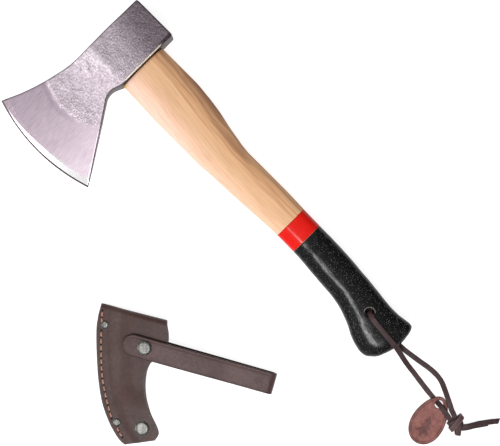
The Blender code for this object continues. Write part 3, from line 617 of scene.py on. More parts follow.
def floor_paper():
    f = Finish("floor_paper", Roughness=0.9, Emission_Color=(1.0, 1.0, 1.0, 1.0))
    # Painted shade: the floor's glow fades out in a small patch under the lanyard hole, so that the
    # hole reads dark.
    hole = placed((HOLE_X, HOLE_Y, 0)) / MM
    away = f.node("VectorMath", {0: f.place, 1: tuple(hole)}, out=1, operation="DISTANCE")
    f.set(f.shader.inputs["Emission Strength"],
          f.ramp(f.maths("DIVIDE", away, 20.0), (0.3, 0.0), (0.55, 0.86)))
    return f.done(f.mix(f.noise(30, detail=2.0), (0.36, 0.36, 0.36), (0.40, 0.40, 0.40)))


# ---- Camera, light and floor ----
def make_camera():
    """Straight above the object, turned so that the haft runs down to the lower right."""
    lens = configured(bpy.data.cameras.new("studio_camera"), sensor_fit="HORIZONTAL",
                      sensor_width=SENSOR_WIDTH, lens=SENSOR_WIDTH * VIEW_DISTANCE / VIEW_WIDTH)
    ob = link_object("studio_camera", lens)
    ob.location = VIEW_CENTRE + Vector((0, 0, VIEW_DISTANCE))
    ob.rotation_euler = (0, 0, math.radians(45))
    bpy.context.scene.camera = ob


def soft_light(name, spot, aim, size, power):
    """An area light at spot, in metres from the view's centre, long side along the haft."""
    spot = VIEW_CENTRE + Vector(spot)
    target = VIEW_CENTRE + Vector(aim)
    lamp = configured(bpy.data.lights.new(name, "AREA"), shape="RECTANGLE", size=size[0],
                      size_y=size[1], energy=power)
    ob = configured(link_object(name, lamp), location=spot, visible_camera=False)
    back = (spot - target).normalized()
    short = Vector((1, 0, 0)).cross(back).normalized()
    ob.rotation_euler = Matrix((short, back.cross(short), back)).transposed().to_euler()


def make_studio():
    floor = bpy.data.meshes.new("floor")
    reach = 3.0
    floor.from_pydata([(-reach, -reach, 0), (reach, -reach, 0), (reach, reach, 0),
                       (-reach, reach, 0)], [], [(0, 1, 2, 3)])
    floor.materials.append(floor_paper())
    link_object("floor", floor)
    world = bpy.data.worlds.new("studio")
    bpy.context.scene.world = world
    world.use_nodes = True
    tree = world.node_tree
    sky = tree.nodes["Background"]
    spot = tree.nodes.new("ShaderNodeTexCoord")
    facing = tree.nodes.new("ShaderNodeVectorMath")
    facing.operation = "DOT_PRODUCT"
    facing.inputs[1].default_value = (0.0, -0.45, 0.62)
    tree.links.new(spot.outputs["Generated"], facing.inputs[0])
    ramp = tree.nodes.new("ShaderNodeValToRGB")
    tree.links.new(facing.outputs["Value"], ramp.inputs[0])
    stops = ramp.color_ramp.elements
    stops.new(0.55)
    for stop, (position, tone) in zip(stops, ((0.0, 0.24), (0.45, 0.66), (0.85, 1.0))):
        stop.position = position
        stop.color = (tone, tone, tone, 1)
    tree.links.new(ramp.outputs[0], sky.inputs["Color"])
    sky.inputs["Strength"].default_value = 0.79
    soft_light("key", (-0.9, -1.3, 1.2), (0, 0, 0), (0.9, 0.9), 14.0)
    soft_light("strip", (0.27, -0.25, 1.0), (0.10, 0.0, 0), (0.05, 0.40), 5.4)
    soft_light("halo", (0.27, -0.27, 1.01), (0.10, 0.0, 0), (0.20, 0.40), 0.5)
    bpy.context.scene.view_settings.view_transform = "Standard"


# ---- Lanyard ----
def lace_outline(wide, thick):
    """Section of the flat lace: softened corners and faintly crowned faces."""
    half_w, half_t, soft = wide / 2, thick / 2, min(0.5, thick * 0.28)
    points = []
    for cx, cy, start in ((half_w - soft, half_t - soft, 0), (soft - half_w, half_t - soft, 90),
                          (soft - half_w, soft - half_t, 180), (half_w - soft, soft - half_t, 270)):
        points += [(cx + soft * math.cos(math.radians(start + a)),
                    cy + soft * math.sin(math.radians(start + a))) for a in (0, 30, 60, 90)]
        sign = 1 if start in (0, 90) else -1
        if start in (0, 180):
            points += [(sign * half_w * k, sign * half_t * 1.03) for k in (0.45, 0.0, -0.45)]
        elif start == 90:
            points += [(-half_w * 1.01, 0.0)]
        else:
            points += [(half_w * 1.01, 0.0)]
    return points


def lace_rings(line, outline, seed, slant):
    """Rings of the lace along a line of drawing points; slant cuts its far end at an angle."""
    rings = []
    total = len(line)
    for i, p in enumerate(line):
        p = Vector(p)
        run = (Vector(line[min(i + 1, total - 1)]) - Vector(line[max(i - 1, 0)])).normalized()
        flat = Vector((run.x, run.y, 0))
        heading = flat.normalized() if flat.length > 0.2 else Vector((0.995, -0.1, 0))
        side = Vector((-heading.y, heading.x, 0))
        up = run.cross(side).normalized()
        swell = 1 + 0.045 * noise.noise(p / 5.0 + Vector((seed, 0, 0)))
        lean = slant * smooth_step((i / (total - 1) - 0.8) / 0.2)
        rings += [p + side * a * swell + up * b + run * a * lean for a, b in outline]
    return rings


def make_lace(name, line, node, seed, slant=0.0):
    outline = lace_outline(LACE_WIDE, LACE_THICK)
    ob = piece(name, lace_rings(line, outline, seed, slant), tube_faces(len(line), len(outline)),
               LACE, "hatchet", (node,), 50)
    paint(ob, edge=[0.8 * (abs(a) > 0.4 * LACE_WIDE) for a, _ in outline] * len(line))
    return ob


def loop_rings(centre, outward, wide, reach, rise, thick, tilt, steps=56):
    """Rings of a flat band wound once round the knot; outward is its level direction."""
    out = Vector(outward).normalized()
    axis = Vector((-out.y, out.x, 0))
    outline = lace_outline(wide, thick)
    rings = []
    for k in range(steps):
        turn = 2 * math.pi * k / steps
        c, s = math.cos(turn), math.sin(turn)
        squarish = (abs(c) ** 3 + abs(s) ** 3) ** (-1 / 3)
        p = Vector(centre) + out * reach * c * squarish + Vector((0, 0, rise * s * squarish))
        p += axis * tilt * c
        normal = (out * c / reach + Vector((0, 0, s / rise))).normalized()
        rings += [p + axis * a + normal * b for a, b in outline]
    return rings, len(outline)


def make_knot():
    """The knot that ties both legs: two flat turns over its core."""
    points, faces = [], []
    core = [(0, 1)] + [(math.sin(a), math.cos(a)) for a in np.linspace(0.25, math.pi - 0.25, 9)]
    ring = turned_points([(max(r, 0.02), h) for r, h in core + [(0.0, -1)]], 0, 0, 28)
    size = np.array((5.0, 5.6, 3.4))
    add_part(points, faces, [Vector(p * size) + KNOT_AT for p in ring],
             tube_faces(len(core) + 1, 28))
    # The last number of each turn sets its painted light: the top turn is painted lighter, and the
    # rims of the other turns and the core are painted darker as shade.
    turns = (((421.2, -24.6, 5.4), (0.10, 1.0, 0), 4.6, 7.4, 4.1, 1.6, 1.6, 1.0),
             ((425.6, -26.8, 4.6), (0.60, -0.80, 0), 4.6, 5.6, 3.7, 1.6, 0.6, 0.45),
             ((418.8, -25.4, 4.6), (0.10, 1.0, 0), 3.4, 4.9, 3.3, 1.5, -0.8, 0.0))
    edge, worn = [0.6] * len(points), [0.0] * len(points)
    for *shape, light in turns:
        rings, count = loop_rings(*shape)
        add_part(points, faces, rings, strip_faces(56, count, True, True))
        rim = [abs(a) / (shape[2] / 2) for a, _ in lace_outline(shape[2], shape[5])]
        edge += [0.9 * (r > 0.85) * (light < 1) for r in rim] * 56
        worn += [light * (0.9 if r > 0.75 else 0.35) for r in rim] * 56
    ob = piece("lanyard_knot_turns", points, faces, LACE, "hatchet",
               ("lanyard_knot",), 50)
    paint(ob, edge=edge)
    paint(ob, worn=worn)
    return ob


def make_lanyard():
    front_line = even_points((*FRONT_LEG, (419.6, -26.4, 5.4)), 156)
    back_line = even_points((*BACK_LEG, (419.6, -23.4, 5.6)), 156)
    front = make_lace("lanyard_front_lace", front_line, "lanyard_front_leg", 1.0)
    back = make_lace("lanyard_back_lace", back_line, "lanyard_back_leg", 7.0)
    long_tail = make_lace("lanyard_long_tail_lace", even_points(LONG_TAIL, 46),
                          "lanyard_long_tail", 3.0, 0.45)
    short_tail = make_lace("lanyard_short_tail_lace", even_points(SHORT_TAIL, 34),
                           "lanyard_short_tail", 5.0, -0.2)
    knot = make_knot()
    tag = make_tag()


# ---- Tag ----
def tag_outline(turn):
    """The tag's egg shape, from its hole end at turn 0 to its wide end at half a turn."""
    tip, wide_end, half_wide = 6.6, 38.3, 15.9
    along = (wide_end - tip) / 2 - (wide_end + tip) / 2 * math.cos(turn)
    full = 0.5 - 0.5 * math.cos(turn)
    return along, half_wide * math.sin(turn) * (0.74 + 0.30 * full)


def tag_relief(a, b, inside):
    """Depth pressed into the tag's face: a line round its border and a plain spruce."""
    depth = 0.16 * band(inside, 2.3, 0.25, 0.35)
    spruce = 0.0
    for top, low, half in ((12.5, 18.0, 3.2), (16.0, 22.5, 4.6), (20.5, 28.0, 6.2)):
        share = (a - top) / (low - top)
        if 0 <= share <= 1:
            spruce = max(spruce, float(band(abs(b), 0, half * share - 0.3, 0.6)))
    if 28 < a < 31.5:
        spruce = max(spruce, float(band(abs(b), 0, 0.8, 0.5)))
    return depth + 0.20 * spruce


def make_tag():
    """Pressed leather tag: rows of points from its hole out to its rolled edge and back below."""
    rays, rings = 240, 88
    outline = np.array([tag_outline(t) for t in np.linspace(0, 2 * math.pi, 721)])
    angles = np.unwrap(np.arctan2(outline[:, 1], -outline[:, 0]))
    want = np.linspace(angles[0], angles[-1], rays, endpoint=False)
    rim = np.stack([np.interp(want, angles, outline[:, k]) for k in (0, 1)], -1)
    start = rim / np.linalg.norm(rim, axis=1)[:, None] * TAG_HOLE_R
    soft = 0.55
    rows, heights, edge = [], [], []
    length = np.linalg.norm(rim - start, axis=1)[:, None]
    direction = (rim - start) / length

    def ring(inset_in, inset_out, share, height, dark):
        at = start + direction * (inset_in + (length - inset_in - inset_out) * share)
        rows.append(at)
        gap = np.min(np.linalg.norm(at[:, None] - outline[None, ::6], axis=2), axis=1)
        relief = np.array([tag_relief(a, b, g) for (a, b), g in zip(at, gap)])
        heights.append(np.broadcast_to(TAG_THICK - relief if height is None else height, (rays,)))
        edge.append(np.maximum(np.clip(1.2 - gap / 1.3, 0, 0.85), np.maximum(dark, relief / 0.3)))

    ring(0, 0, 0, soft, 0.9)
    ring(0, 0, 0, TAG_THICK - soft, 0.9)
    ring(0.15, soft, 0, TAG_THICK - 0.2, 0.7)
    for k in range(rings):
        ring(soft, soft, k / (rings - 1), None, 0.0)
    for turn in (30, 60, 90, 90, 60, 30, 0):
        t = math.radians(turn)
        level = soft * (1 - math.cos(t))
        upper = len(rows) < rings + 6
        ring(0, soft * (1 - math.sin(t)), 1, TAG_THICK - level if upper else level, 0.9)
    for share in (0.75, 0.5, 0.25):
        ring(soft, soft, share, 0.0, 0.1)
    ring(soft, soft, 0, 0.0, 0.4)
    flat = np.concatenate(rows)
    cup = 0.175 * np.sin(flat[:, 0] / 12.0) * (flat[:, 1] / 15.0) ** 2
    local = np.column_stack((flat, np.concatenate(heights) - cup))
    tilt = Matrix.Rotation(math.radians(-75.5), 3, "Z") @ Matrix.Rotation(math.radians(4.2), 3, "Y")
    points = local @ np.array(tilt).T + np.array((TAG_PIVOT.x, TAG_PIVOT.y, 3.05))
    ob = piece("leather_tag_pressed", points, strip_faces(len(rows), rays, True, True), TAG, "tag",
               ("leather_tag",), 60)
    paint(ob, edge=np.concatenate(edge))
    paint(ob, worn=np.clip(grainy(points, 5.0, 2.0, 3) * 2, 0, 1))
    return ob


# ---- Head ----
def head_row(y):
    """Top x, underside x, half thickness and bow of the head at each y."""
    values = read(HEAD[:-1][::-1], y)
    t = np.clip((BEVEL_Y - y) / (BEVEL_Y - EDGE_Y), 0, 1)[:, None]
    return np.where(y[:, None] < BEVEL_Y, HEAD[-2, 1:] + (HEAD[-1, 1:] - HEAD[-2, 1:]) * t, values)


def ground_line(x):
    """Where the forged surface meets the ground blade."""
    return -72.5 + 0.0105 * (x + 2) ** 2


def make_head():
    shoulder = POLL_Y - HEAD_CORNER
    ys = np.concatenate((np.linspace(POLL_Y, shoulder, 7)[:-1],
                         np.arange(shoulder, BEVEL_Y, -0.95),
                         np.linspace(BEVEL_Y, EDGE_Y + 1.0, 9),
                         EDGE_Y + np.array((0.8, 0.6, 0.4, 0.2, 0.0))))
    rows = head_row(ys)
    inset = round_over(POLL_Y - ys, HEAD_CORNER)
    inner = np.linspace(0, 1, 88)
    rings = []
    for y, (top, low, half, bow), pull in zip(ys, rows, inset):
        top, low, half = top + pull, low - pull, half - pull
        fillet = min(1.3, half * 0.8)
        rolled = [(fillet * (1 - math.cos(t)), half - fillet + fillet * math.sin(t))
                  for t in np.linspace(0, math.pi / 2, 5)]
        near = [(top + d, z) for d, z in rolled]
        flat = [(x, half) for x in top + fillet + (low - top - 2 * fillet) * inner[1:-1]]
        far = [(low - d, z) for d, z in reversed(rolled)]
        upper = near + flat + far
        wall = (half - fillet) * np.linspace(1, -1, 9)[1:-1]
        ring = upper + [(low, z) for z in wall] + [(x, -z) for x, z in reversed(upper)]
        ring += [(top, z) for z in wall[::-1]]
        ring = np.array(ring)
        share = (ring[:, 0] - top) / (low - top)
        rings.append(np.column_stack((ring[:, 0], y - bow * 4 * share * (1 - share),
                                      MID + ring[:, 1])))
    count = len(rings[0])
    points = forged_relief(np.concatenate(rings))
    head = new_object("axe_head_forged", points, tube_faces(len(rings), count))
    cut_with(head, [eye_cutter()])
    paint_head(head)
    finish_piece(head, STEEL, "hatchet", ("axe_head",))


def crease_mask(x, y):
    """The rough crease where the blade was drawn out of the eye."""
    upper = smooth_step((4 - x) / 18)
    middle = -25.5 - 5.5 * upper
    return band(y, middle, 1.2 + 4.5 * upper, 4.5) * (0.55 + 0.45 * upper)


def forged_relief(points):
    """Moves the forged faces a little in and out: hammer waves, pits and the rough crease."""
    x, y, z = points.T
    forged = smooth_step((y - ground_line(x)) / 1.6 + 0.5)
    wave = grainy(points, 9.0, 2.0, 3)
    pit = grainy(points, 2.6, 5.0, 2)
    crease = crease_mask(x, y)
    ridged = np.abs(grainy(points * np.array((1.0, 1.7, 1.0)), 3.4, 9.0, 3))
    move = forged * (0.09 * wave + 0.05 * pit) + crease * (0.50 * (0.35 - ridged))
    move += 0.10 * band(y, ground_line(x), 0.5, 1.4) * (x < 16)
    thick = np.clip(np.abs(z - MID) / 3.0, 0, 1)
    out = points.copy()
    out[:, 2] += np.sign(z - MID) * move * thick
    return out


def eye_ring_points(x, shrink, count=72):
    rise = (EYE_LOW_X - x) / (EYE_LOW_X - EYE_TOP_X)
    return oval_ring(x, EYE_Y, 18.6 + 1.4 * rise - shrink, 7.5 + 1.4 * rise - shrink, count)


def oval_ring(x, centre, half_y, half_z, count, power=2.5):
    turn = 2 * math.pi * (np.arange(count) + 0.5) / count
    c, s = np.cos(turn), np.sin(turn)
    return np.column_stack((np.full(count, x),
                            centre + np.sign(c) * np.abs(c) ** (2 / power) * half_y,
                            MID + np.sign(s) * np.abs(s) ** (2 / power) * half_z))


def eye_cutter():
    rings = [eye_ring_points(x, 0) for x in (EYE_TOP_X - 3, EYE_LOW_X + 3)]
    return new_object("eye_cutter", np.concatenate(rings), tube_faces(2, 72))


def paint_head(head):
    """Marks the ground blade, the honed bevel painted near white, the narrow faces and the poll
    darkened as painted shade, the crease, and painted highlights on the neck ridge, the ground
    line, the lower edge and towards the heel.
    """
    p = vertex_points(head)
    x, y, z = p.T
    rows = head_row(np.clip(y, EDGE_Y, POLL_Y))
    for _ in range(4):
        share = np.clip((x - rows[:, 0]) / (rows[:, 1] - rows[:, 0]), 0, 1)
        flat_y = np.clip(y + rows[:, 3] * 4 * share * (1 - share), EDGE_Y, POLL_Y)
        rows = head_row(flat_y)
    fade = 1 - 0.85 * smooth_step((x - 20) / 14)
    wobble = 0.8 * grainy(p, 7.0, 4.0, 2)
    near = ground_line(x) + wobble - y
    ground = smooth_step(near / 1.3 + 0.5) * fade + smooth_step(near / 12 + 0.5) * (1 - fade)
    # The white bevel band, partly a painted highlight: narrow at the toe, wider towards the heel.
    width = 0.7 + 4.6 * smooth_step(share / 0.8 + 0.1)
    bevel = smooth_step((EDGE_Y + width - flat_y) / (1.0 + 2.0 * share) + 0.5)
    side_in = np.minimum(x - rows[:, 0], rows[:, 1] - x)
    # Painted shade: near black on the narrow faces seen edge-on; the loop below adds painted shade
    # on the honed zone beside the white bevel, a line along the cutting edge, the rounded poll
    # corner and the underside by the poll.
    dark = 1 - smooth_step((side_in - 0.25) / 0.8)
    honed = smooth_step((BEVEL_Y - flat_y) / 0.8 + 0.5)
    to_low = rows[:, 1] - x
    for shade in ((0.88 - 0.24 * share) * honed * (1 - bevel),
                  1.08 * (1 - smooth_step((flat_y - EDGE_Y - 1.1) / 0.35)),
                  smooth_step((y - POLL_Y + HEAD_CORNER) / 1.3),
                  smooth_step((y - 20) / 8) * (1 - smooth_step((to_low - 2.2) / 1.4))):
        dark = np.maximum(dark, shade)
    lit = (1 - smooth_step((to_low - 0.9) / 0.5)) * band(y, 3.0, 19.0, 3.0)
    lit = lit * (z > MID + 8) * (to_low > 0.3)
    dark = dark * (1 - 0.9 * lit)
    wander = 3.0 * grainy(p * np.array((1, 0.2, 0.2)), 9.0, 12.0, 2)
    # Painted highlight along the neck's ridge, where the cheek turns down.
    ridge = band(y, -22.6 + wander, 0.5, 2.2) * (0.4 + 0.6 * smooth_step((14 - x) / 10))
    # Painted light and shadow either side of the ground line.
    crescent = band(near, -1.4, 0.6, 1.5) - 0.8 * band(near, 2.0, 1.0, 3.0)
    # Painted light: the ground blade is painted lighter towards the heel.
    paint(head, low_side=smooth_step((x + 34) / 80), ridge=ridge, lit=lit,
          crescent=crescent * (1 - smooth_step((x - 4) / 16)), ground=ground,
          bevel=bevel * (1 - dark), dark=dark * 0.92,
          # painted shade, darker towards the poll
          poll=0.86 * smooth_step((y + 0.2 * x + 10.0) / 38.0),
          crease=crease_mask(x, y) * (0.6 + 0.8 * grainy(p, 2.4, 3.0, 2)))


# ---- Haft, band and grip ----
def haft_points(xs, inset, count=96, end_inset=0.0):
    """Rings of the haft's outline at each x, moved in by inset, with its soft side facet."""
    rings = []
    for x, (back, front, half) in zip(xs, read(HAFT, xs)):
        shift = end_inset * max(0.0, (x - 320.0) / (HAFT_END - 320.0))
        ring = oval_ring(x, (back + front) / 2, (back - front) / 2 - inset, half - inset, count)
        ring[:, 0] -= shift
        facet = FACET_Y - FACET_SLOPE * min(x - FACET_X, FACET_RUN)
        depth = 0.13 * smooth_step((150 - x) / 50) * smooth_step((x - 21) / 12)
        past = np.clip(ring[:, 1] - facet, 0, None)
        ring[:, 2] -= np.sign(ring[:, 2] - MID) * past * depth * \
            np.clip(np.abs(ring[:, 2] - MID) / 6.0, 0, 1)
        rings.append(ring)
    return rings


def hole_cutter(radius, steps=48):
    pin = turned_points(((radius, 31), (radius, -4)), HOLE_X, HOLE_Y, steps)
    return new_object("lanyard_hole", pin, tube_faces(2, steps))


def make_haft():
    tongue = [eye_ring_points(x, GAP, 96)
              for x in np.linspace(EYE_TOP_X + GAP, EYE_LOW_X + GAP, 24)]
    chamfer = [eye_ring_points(EYE_TOP_X + GAP, GAP + 0.4, 96)]
    xs = np.concatenate(((EYE_LOW_X + GAP,), np.arange(22.1, BAND_START - 0.4, 1.3), (BAND_START,)))
    bare = haft_points(xs, 0)
    bare[0] = haft_points(xs[:1], 0.5)[0]
    covered = np.concatenate(((BAND_START + 0.02,), np.linspace(BAND_START + 3, HAFT_END, 70)))
    under = haft_points(covered, COAT + GAP, 96, 0.9)
    rings = chamfer + tongue + bare + under
    haft = new_object("ash_haft", np.concatenate(rings), tube_faces(len(rings), 96))
    cut_with(haft, [kerf_cutter(), groove_cutter(), hole_cutter(HOLE_R)])
    x, y, _ = vertex_points(haft).T
    paint(haft, end_grain=x < EYE_TOP_X + GAP + 0.1)
    # Painted shade on the haft where it leaves the eye.
    paint(haft, burnt=0.8 * band(x, EYE_LOW_X, 0.3, 0.9))
    # Painted shade: the wood in and round the lanyard hole is painted near black.
    paint(haft, bore=0.95 * (np.hypot(x - HOLE_X, y - HOLE_Y) < HOLE_R + 2.5))
    paint(haft, glue=0.8 * band(x, 23.0, 0.8, 1.4) * band(y, -21.5, 1.0, 1.6))
    finish_piece(haft, ASH, "hatchet", ("haft",))


def kerf_cutter():
    rings = []
    for x, half in ((EYE_TOP_X - 1, 1.9), (9.0, 0.9)):
        rings += [(x, EYE_Y + 24.0 * a, MID + half * b)
                  for a, b in ((-1, -1), (1, -1), (1, 1), (-1, 1))]
    return new_object("kerf", rings, tube_faces(2, 4))


def groove_cutter():
    """The round groove of the ring wedge, as a ring on the haft's axis."""
    inner, outer, deep, steps = 4.9, 6.8, 8.3, 64
    turn = np.linspace(0, 2 * math.pi, steps, endpoint=False)
    points = []
    for radius, x in ((inner, -2), (outer, -2), (outer, deep), (inner, deep)):
        points.append(np.column_stack((np.full(steps, EYE_TOP_X + GAP + x),
                                       EYE_Y + radius * np.cos(turn), MID + radius * np.sin(turn))))
    return new_object("groove", np.concatenate(points), strip_faces(4, steps, True, True))


def make_band():
    start, end, soft = BAND_START + 0.05, BAND_END - GAP / 2, 0.35
    xs = np.concatenate((np.linspace(start, start + soft, 4), np.linspace(start + 1, end - 1, 16),
                         np.linspace(end - soft, end, 4)))
    rings = []
    for x in xs:
        pull = round_over(min(x - start, end - x), soft)
        rings += haft_points(np.array([x]), pull, 120)
    inner = haft_points(np.array([end, start]), COAT, 120)
    ob = piece("red_band_painted", np.concatenate(rings + inner),
               strip_faces(len(rings) + 2, 120, True, True), RED, "hatchet",
               ("red_band",), 38)
    x, y, _ = vertex_points(ob).T
    # Painted shade on the rounded lip at the band's start.
    paint(ob, lip=1 - smooth_step((x - start) / 0.5))
    # Painted shade, darker towards the band's back side.
    paint(ob, back=smooth_step((y - 4) / 12))


def make_grip():
    start = BAND_END + GAP / 2
    soft = 0.4
    xs = np.concatenate((np.linspace(start, start + soft, 4), np.arange(start + 1.2, 320, 1.25),
                         320 + (HAFT_END - 320) * np.sin(np.linspace(0.02, math.pi / 2, 26))))
    outer = [haft_points(np.array([x]), round_over(x - start, soft), 112)[0] for x in xs]
    inner_xs = np.concatenate((np.linspace(HAFT_END, 320, 14), np.linspace(312, start, 12)))
    inner = haft_points(inner_xs, COAT, 112, COAT)
    points = np.concatenate(inner + outer)
    relief = 0.06 * grainy(points, 2.2, 6.0, 3) + 0.18 * grainy(points, 14.0, 8.0, 2)
    away = (points - (0, HOLE_Y, MID)) * (0, 1, 1)
    away /= np.linalg.norm(away, axis=1)[:, None] + 1e-9
    skin = np.arange(len(points)) >= len(inner) * 112
    points = points + away * (relief * skin)[:, None]
    grip = new_object("grip_coat_dipped", points, tube_faces(len(inner) + len(outer), 112))
    cut_with(grip, [hole_cutter(HOLE_R + 0.6)])
    finish_piece(grip, BLACK, "hatchet", ("grip_coat",))
    make_hole_rim()


def make_hole_rim():
    """The bare wood that shows as a thin ring inside the coat at each mouth of the hole, painted
    dark as shade on its inner and lower rows and on its half towards the haft's end and the blade
    side.
    """
    steps = 72
    points, faces = [], []
    top = surface_height(HOLE_X, HOLE_Y)
    profile = ((0.56, -1.2), (0.58, -0.10), (0.48, 0.06), (0.36, -0.10), (0.34, -1.2))
    for level, sign in ((top, 1), (2 * MID - top, -1)):
        add_part(points, faces, turned_points([(HOLE_R + r, level + sign * h) for r, h in profile],
                                              HOLE_X, HOLE_Y, steps),
                 strip_faces(len(profile), steps, True, True))
    ob = piece("hole_rim", points, faces, RIM, "hatchet")
    x, y, z = (np.array(points) - (HOLE_X, HOLE_Y, 0)).T
    hidden = (np.hypot(x, y) < HOLE_R + 0.45) | (z < top - 0.5)
    # Painted shade: the ring is dark on its inner and lower rows and on its half towards the haft's
    # end and the blade side.
    paint(ob, shaded=np.maximum(smooth_step((0.7 * (x - y) + 0.3) / 0.9), hidden))


def surface_height(x, y):
    """Height of the grip's upper face over a drawing point."""
    back, front, half = read(HAFT, np.array([x]))[0]
    share = abs((y - (back + front) / 2) / ((back - front) / 2))
    return MID + half * (1 - share ** 2.5) ** (1 / 2.5)


# ---- Blade cover ----
LEFT_TABLE = np.array([(-y, x) for x, y in COVER_LEFT])


def edge_distance(x, y):
    return x - np.interp(-y, LEFT_TABLE[:, 0], LEFT_TABLE[:, 1])


def rear_under(x, y):
    inward = smooth_step((edge_distance(x, y) - 8.5) / 13)
    upper = 1 - smooth_step((-y - 24) / 28)
    return 1.2 + 2.3 * inward * upper


def panel_gap(x, y):
    inward = edge_distance(x, y)
    upper = 1 - smooth_step((-y - 34) / 22)
    blade = 2.8 * smooth_step((inward - 9) / 22) * upper
    snap = 0.9 * smooth_step((inward - 9) / 8) * (1 - upper)
    return WELT + 2 * GAP + blade + snap


def front_middle(x, y):
    return rear_under(x, y) + LEATHER * 1.5 + panel_gap(x, y)


def front_top(x, y):
    return front_middle(x, y) + LEATHER / 2


COVER_ROWS, COVER_COLS = 120, 64
FOLD_INSET = 4.6


def cover_sides():
    left = list(COVER_LEFT[:-2]) + [(-24.3, -75.3), (-20.2, -80.6), (-17.2, -82.9)]
    return (even_points(left, COVER_ROWS), even_points(COVER_RIGHT, COVER_ROWS))


def cover_grid():
    """Middle surface of the folded hide, from the rear heel over the fold to the front heel."""
    left, right = cover_sides()
    share = np.linspace(0, 1, COVER_COLS)[:, None]
    flat = left[:, None, :] * (1 - share) + right[:, None, :] * share
    fade = 1 - smooth_step(np.arange(COVER_ROWS) / (COVER_ROWS * 0.27))
    flat[..., 1] -= (FOLD_INSET * fade)[:, None]
    x, y = flat[..., 0], flat[..., 1]
    front = np.stack((x, y, front_middle(x, y)), -1)
    rear = np.stack((x, y, rear_under(x, y) + LEATHER / 2), -1)
    low, high = rear[0], front[0]
    reach = FOLD_INSET - LEATHER / 2
    fold = []
    for t in np.linspace(0, math.pi, 18)[1:-1]:
        row = (low + high) / 2 + (0, reach * math.sin(t), 0)
        row[:, 2] -= (high[:, 2] - low[:, 2]) / 2 * math.cos(t)
        fold.append(row)
    return np.concatenate((rear[::-1], np.array(fold), front))


def make_pocket():
    grid = cover_grid()
    hide = new_object("sheath_hide", cover_points(grid.reshape(-1, 3)),
                      strip_faces(len(grid), COVER_COLS, False), 60)
    configured(hide.modifiers.new("hide", "SOLIDIFY"), thickness=LEATHER * MM, offset=0,
               use_even_offset=True)
    configured(hide.modifiers.new("burnish", "BEVEL"), width=0.7 * MM, segments=3,
               limit_method="ANGLE", angle_limit=math.radians(55))
    apply_modifiers(hide)
    finish_piece(hide, COVER, "sheath", ("sheath_pocket",))
    cutter = needle_cutter()
    cutter.data.materials.append(NEEDLE)
    cut_with(hide, [cutter], 60, "TRANSFER")
    paint_cover(hide)


def cover_local(points):
    """Drawing points as points of the cover's own drawing."""
    return turned(points - SHEATH_AT, -SHEATH_TURN)


def line_gap(points, line):
    """Distance of each flat point to a polyline."""
    best = np.full(len(points), 1e9)
    for a, b in zip(line, line[1:]):
        ab = b - a
        t = np.clip(((points - a) @ ab) / (ab @ ab), 0, 1)
        best = np.minimum(best, np.linalg.norm(points - (a + t[:, None] * ab), axis=1))
    return best


def paint_cover(ob):
    """Darker burnished rim, a lighter rubbed line along the folds and rims, and a painted shadow
    ring round the rivets and the snap cap.
    """
    p = cover_local(vertex_points(ob))
    left, right = cover_sides()
    rims = (left[::3, :2], right[::3, :2], np.array((left[-1, :2], right[-1, :2])))
    rim = np.min([line_gap(p[:, :2], line) for line in rims], axis=0)
    edge = 1 - smooth_step((rim - 0.2) / 1.5)
    seam = band(edge_distance(p[:, 0], p[:, 1]), 8.2, 0.2, 1.4) * 0.25
    # Painted shadow: a ring round each rivet and the snap cap.
    ring = np.zeros(len(p))
    for (x, y), radius in ((EDGE_RIVETS[0], 3.5), (EDGE_RIVETS[1], 3.5), (HEEL_SNAP, 6.4)):
        gap = np.hypot(p[:, 0] - x, p[:, 1] - y) - radius
        ring = np.maximum(ring, band(gap, 0, 0.5, 1.0) * 0.8)
    paint(ob, edge=np.clip(np.maximum(np.maximum(edge, seam), ring), 0, 1))
    paint(ob, worn=np.clip(edge * (0.5 + grainy(p, 6.0, 3.0, 2)), 0, 1) * (rim < 1.0))


def seam_holes():
    """Each seam run's needle holes as points of the cover's drawing."""
    return [even_points(line, count)[:, :2] for line, count in SEAMS]


def needle_cutter():
    """Every needle hole as a small slanted pit in the front and rear faces."""
    points, faces, steps = [], [], 10
    for run in seam_holes():
        for x, y in run:
            top, low = front_top(x, y), rear_under(x, y)
            for high, deep in ((top + 0.6, top - 1.5), (low + 1.3, low - 0.6)):
                ring = turned_points(((0.92, high), (0.80, deep)), 0, 0, steps)
                ring = ring * (1, 1.45, 1) + (x, y, 0)
                add_part(points, faces, cover_points(ring), tube_faces(2, steps))
    return new_object("needle_holes", points, faces)


def stitch_points(a, b, height, side, ply, steps=16, sides=7):
    """One ply of a stitch from hole a to b; side is 1 over the front panel, -1 under the rear."""
    a, b = Vector((*a, 0)), Vector((*b, 0))
    run = (b - a).normalized()
    across = Vector((-run.y, run.x, 0))
    ply_r = THREAD_R * 0.72
    rings = []
    for k in range(steps):
        t = k / (steps - 1)
        dip = 2.0 * (abs(2 * t - 1) ** 2.6)
        spot = a.lerp(b, 0.10 + 0.80 * t)
        z = height(spot.x, spot.y) + side * (THREAD_R * 0.95 - dip)
        twist = 2 * math.pi * (1.4 * t + ply / 2)
        centre = Vector((spot.x, spot.y, z)) + across * 0.26 * math.cos(twist)
        centre.z += 0.16 * math.sin(twist) * side
        for i in range(sides):
            turn = 2 * math.pi * i / sides
            rings.append(centre + across * ply_r * math.cos(turn)
                         + Vector((0, 0, ply_r * math.sin(turn))))
    return rings, tube_faces(steps, sides)


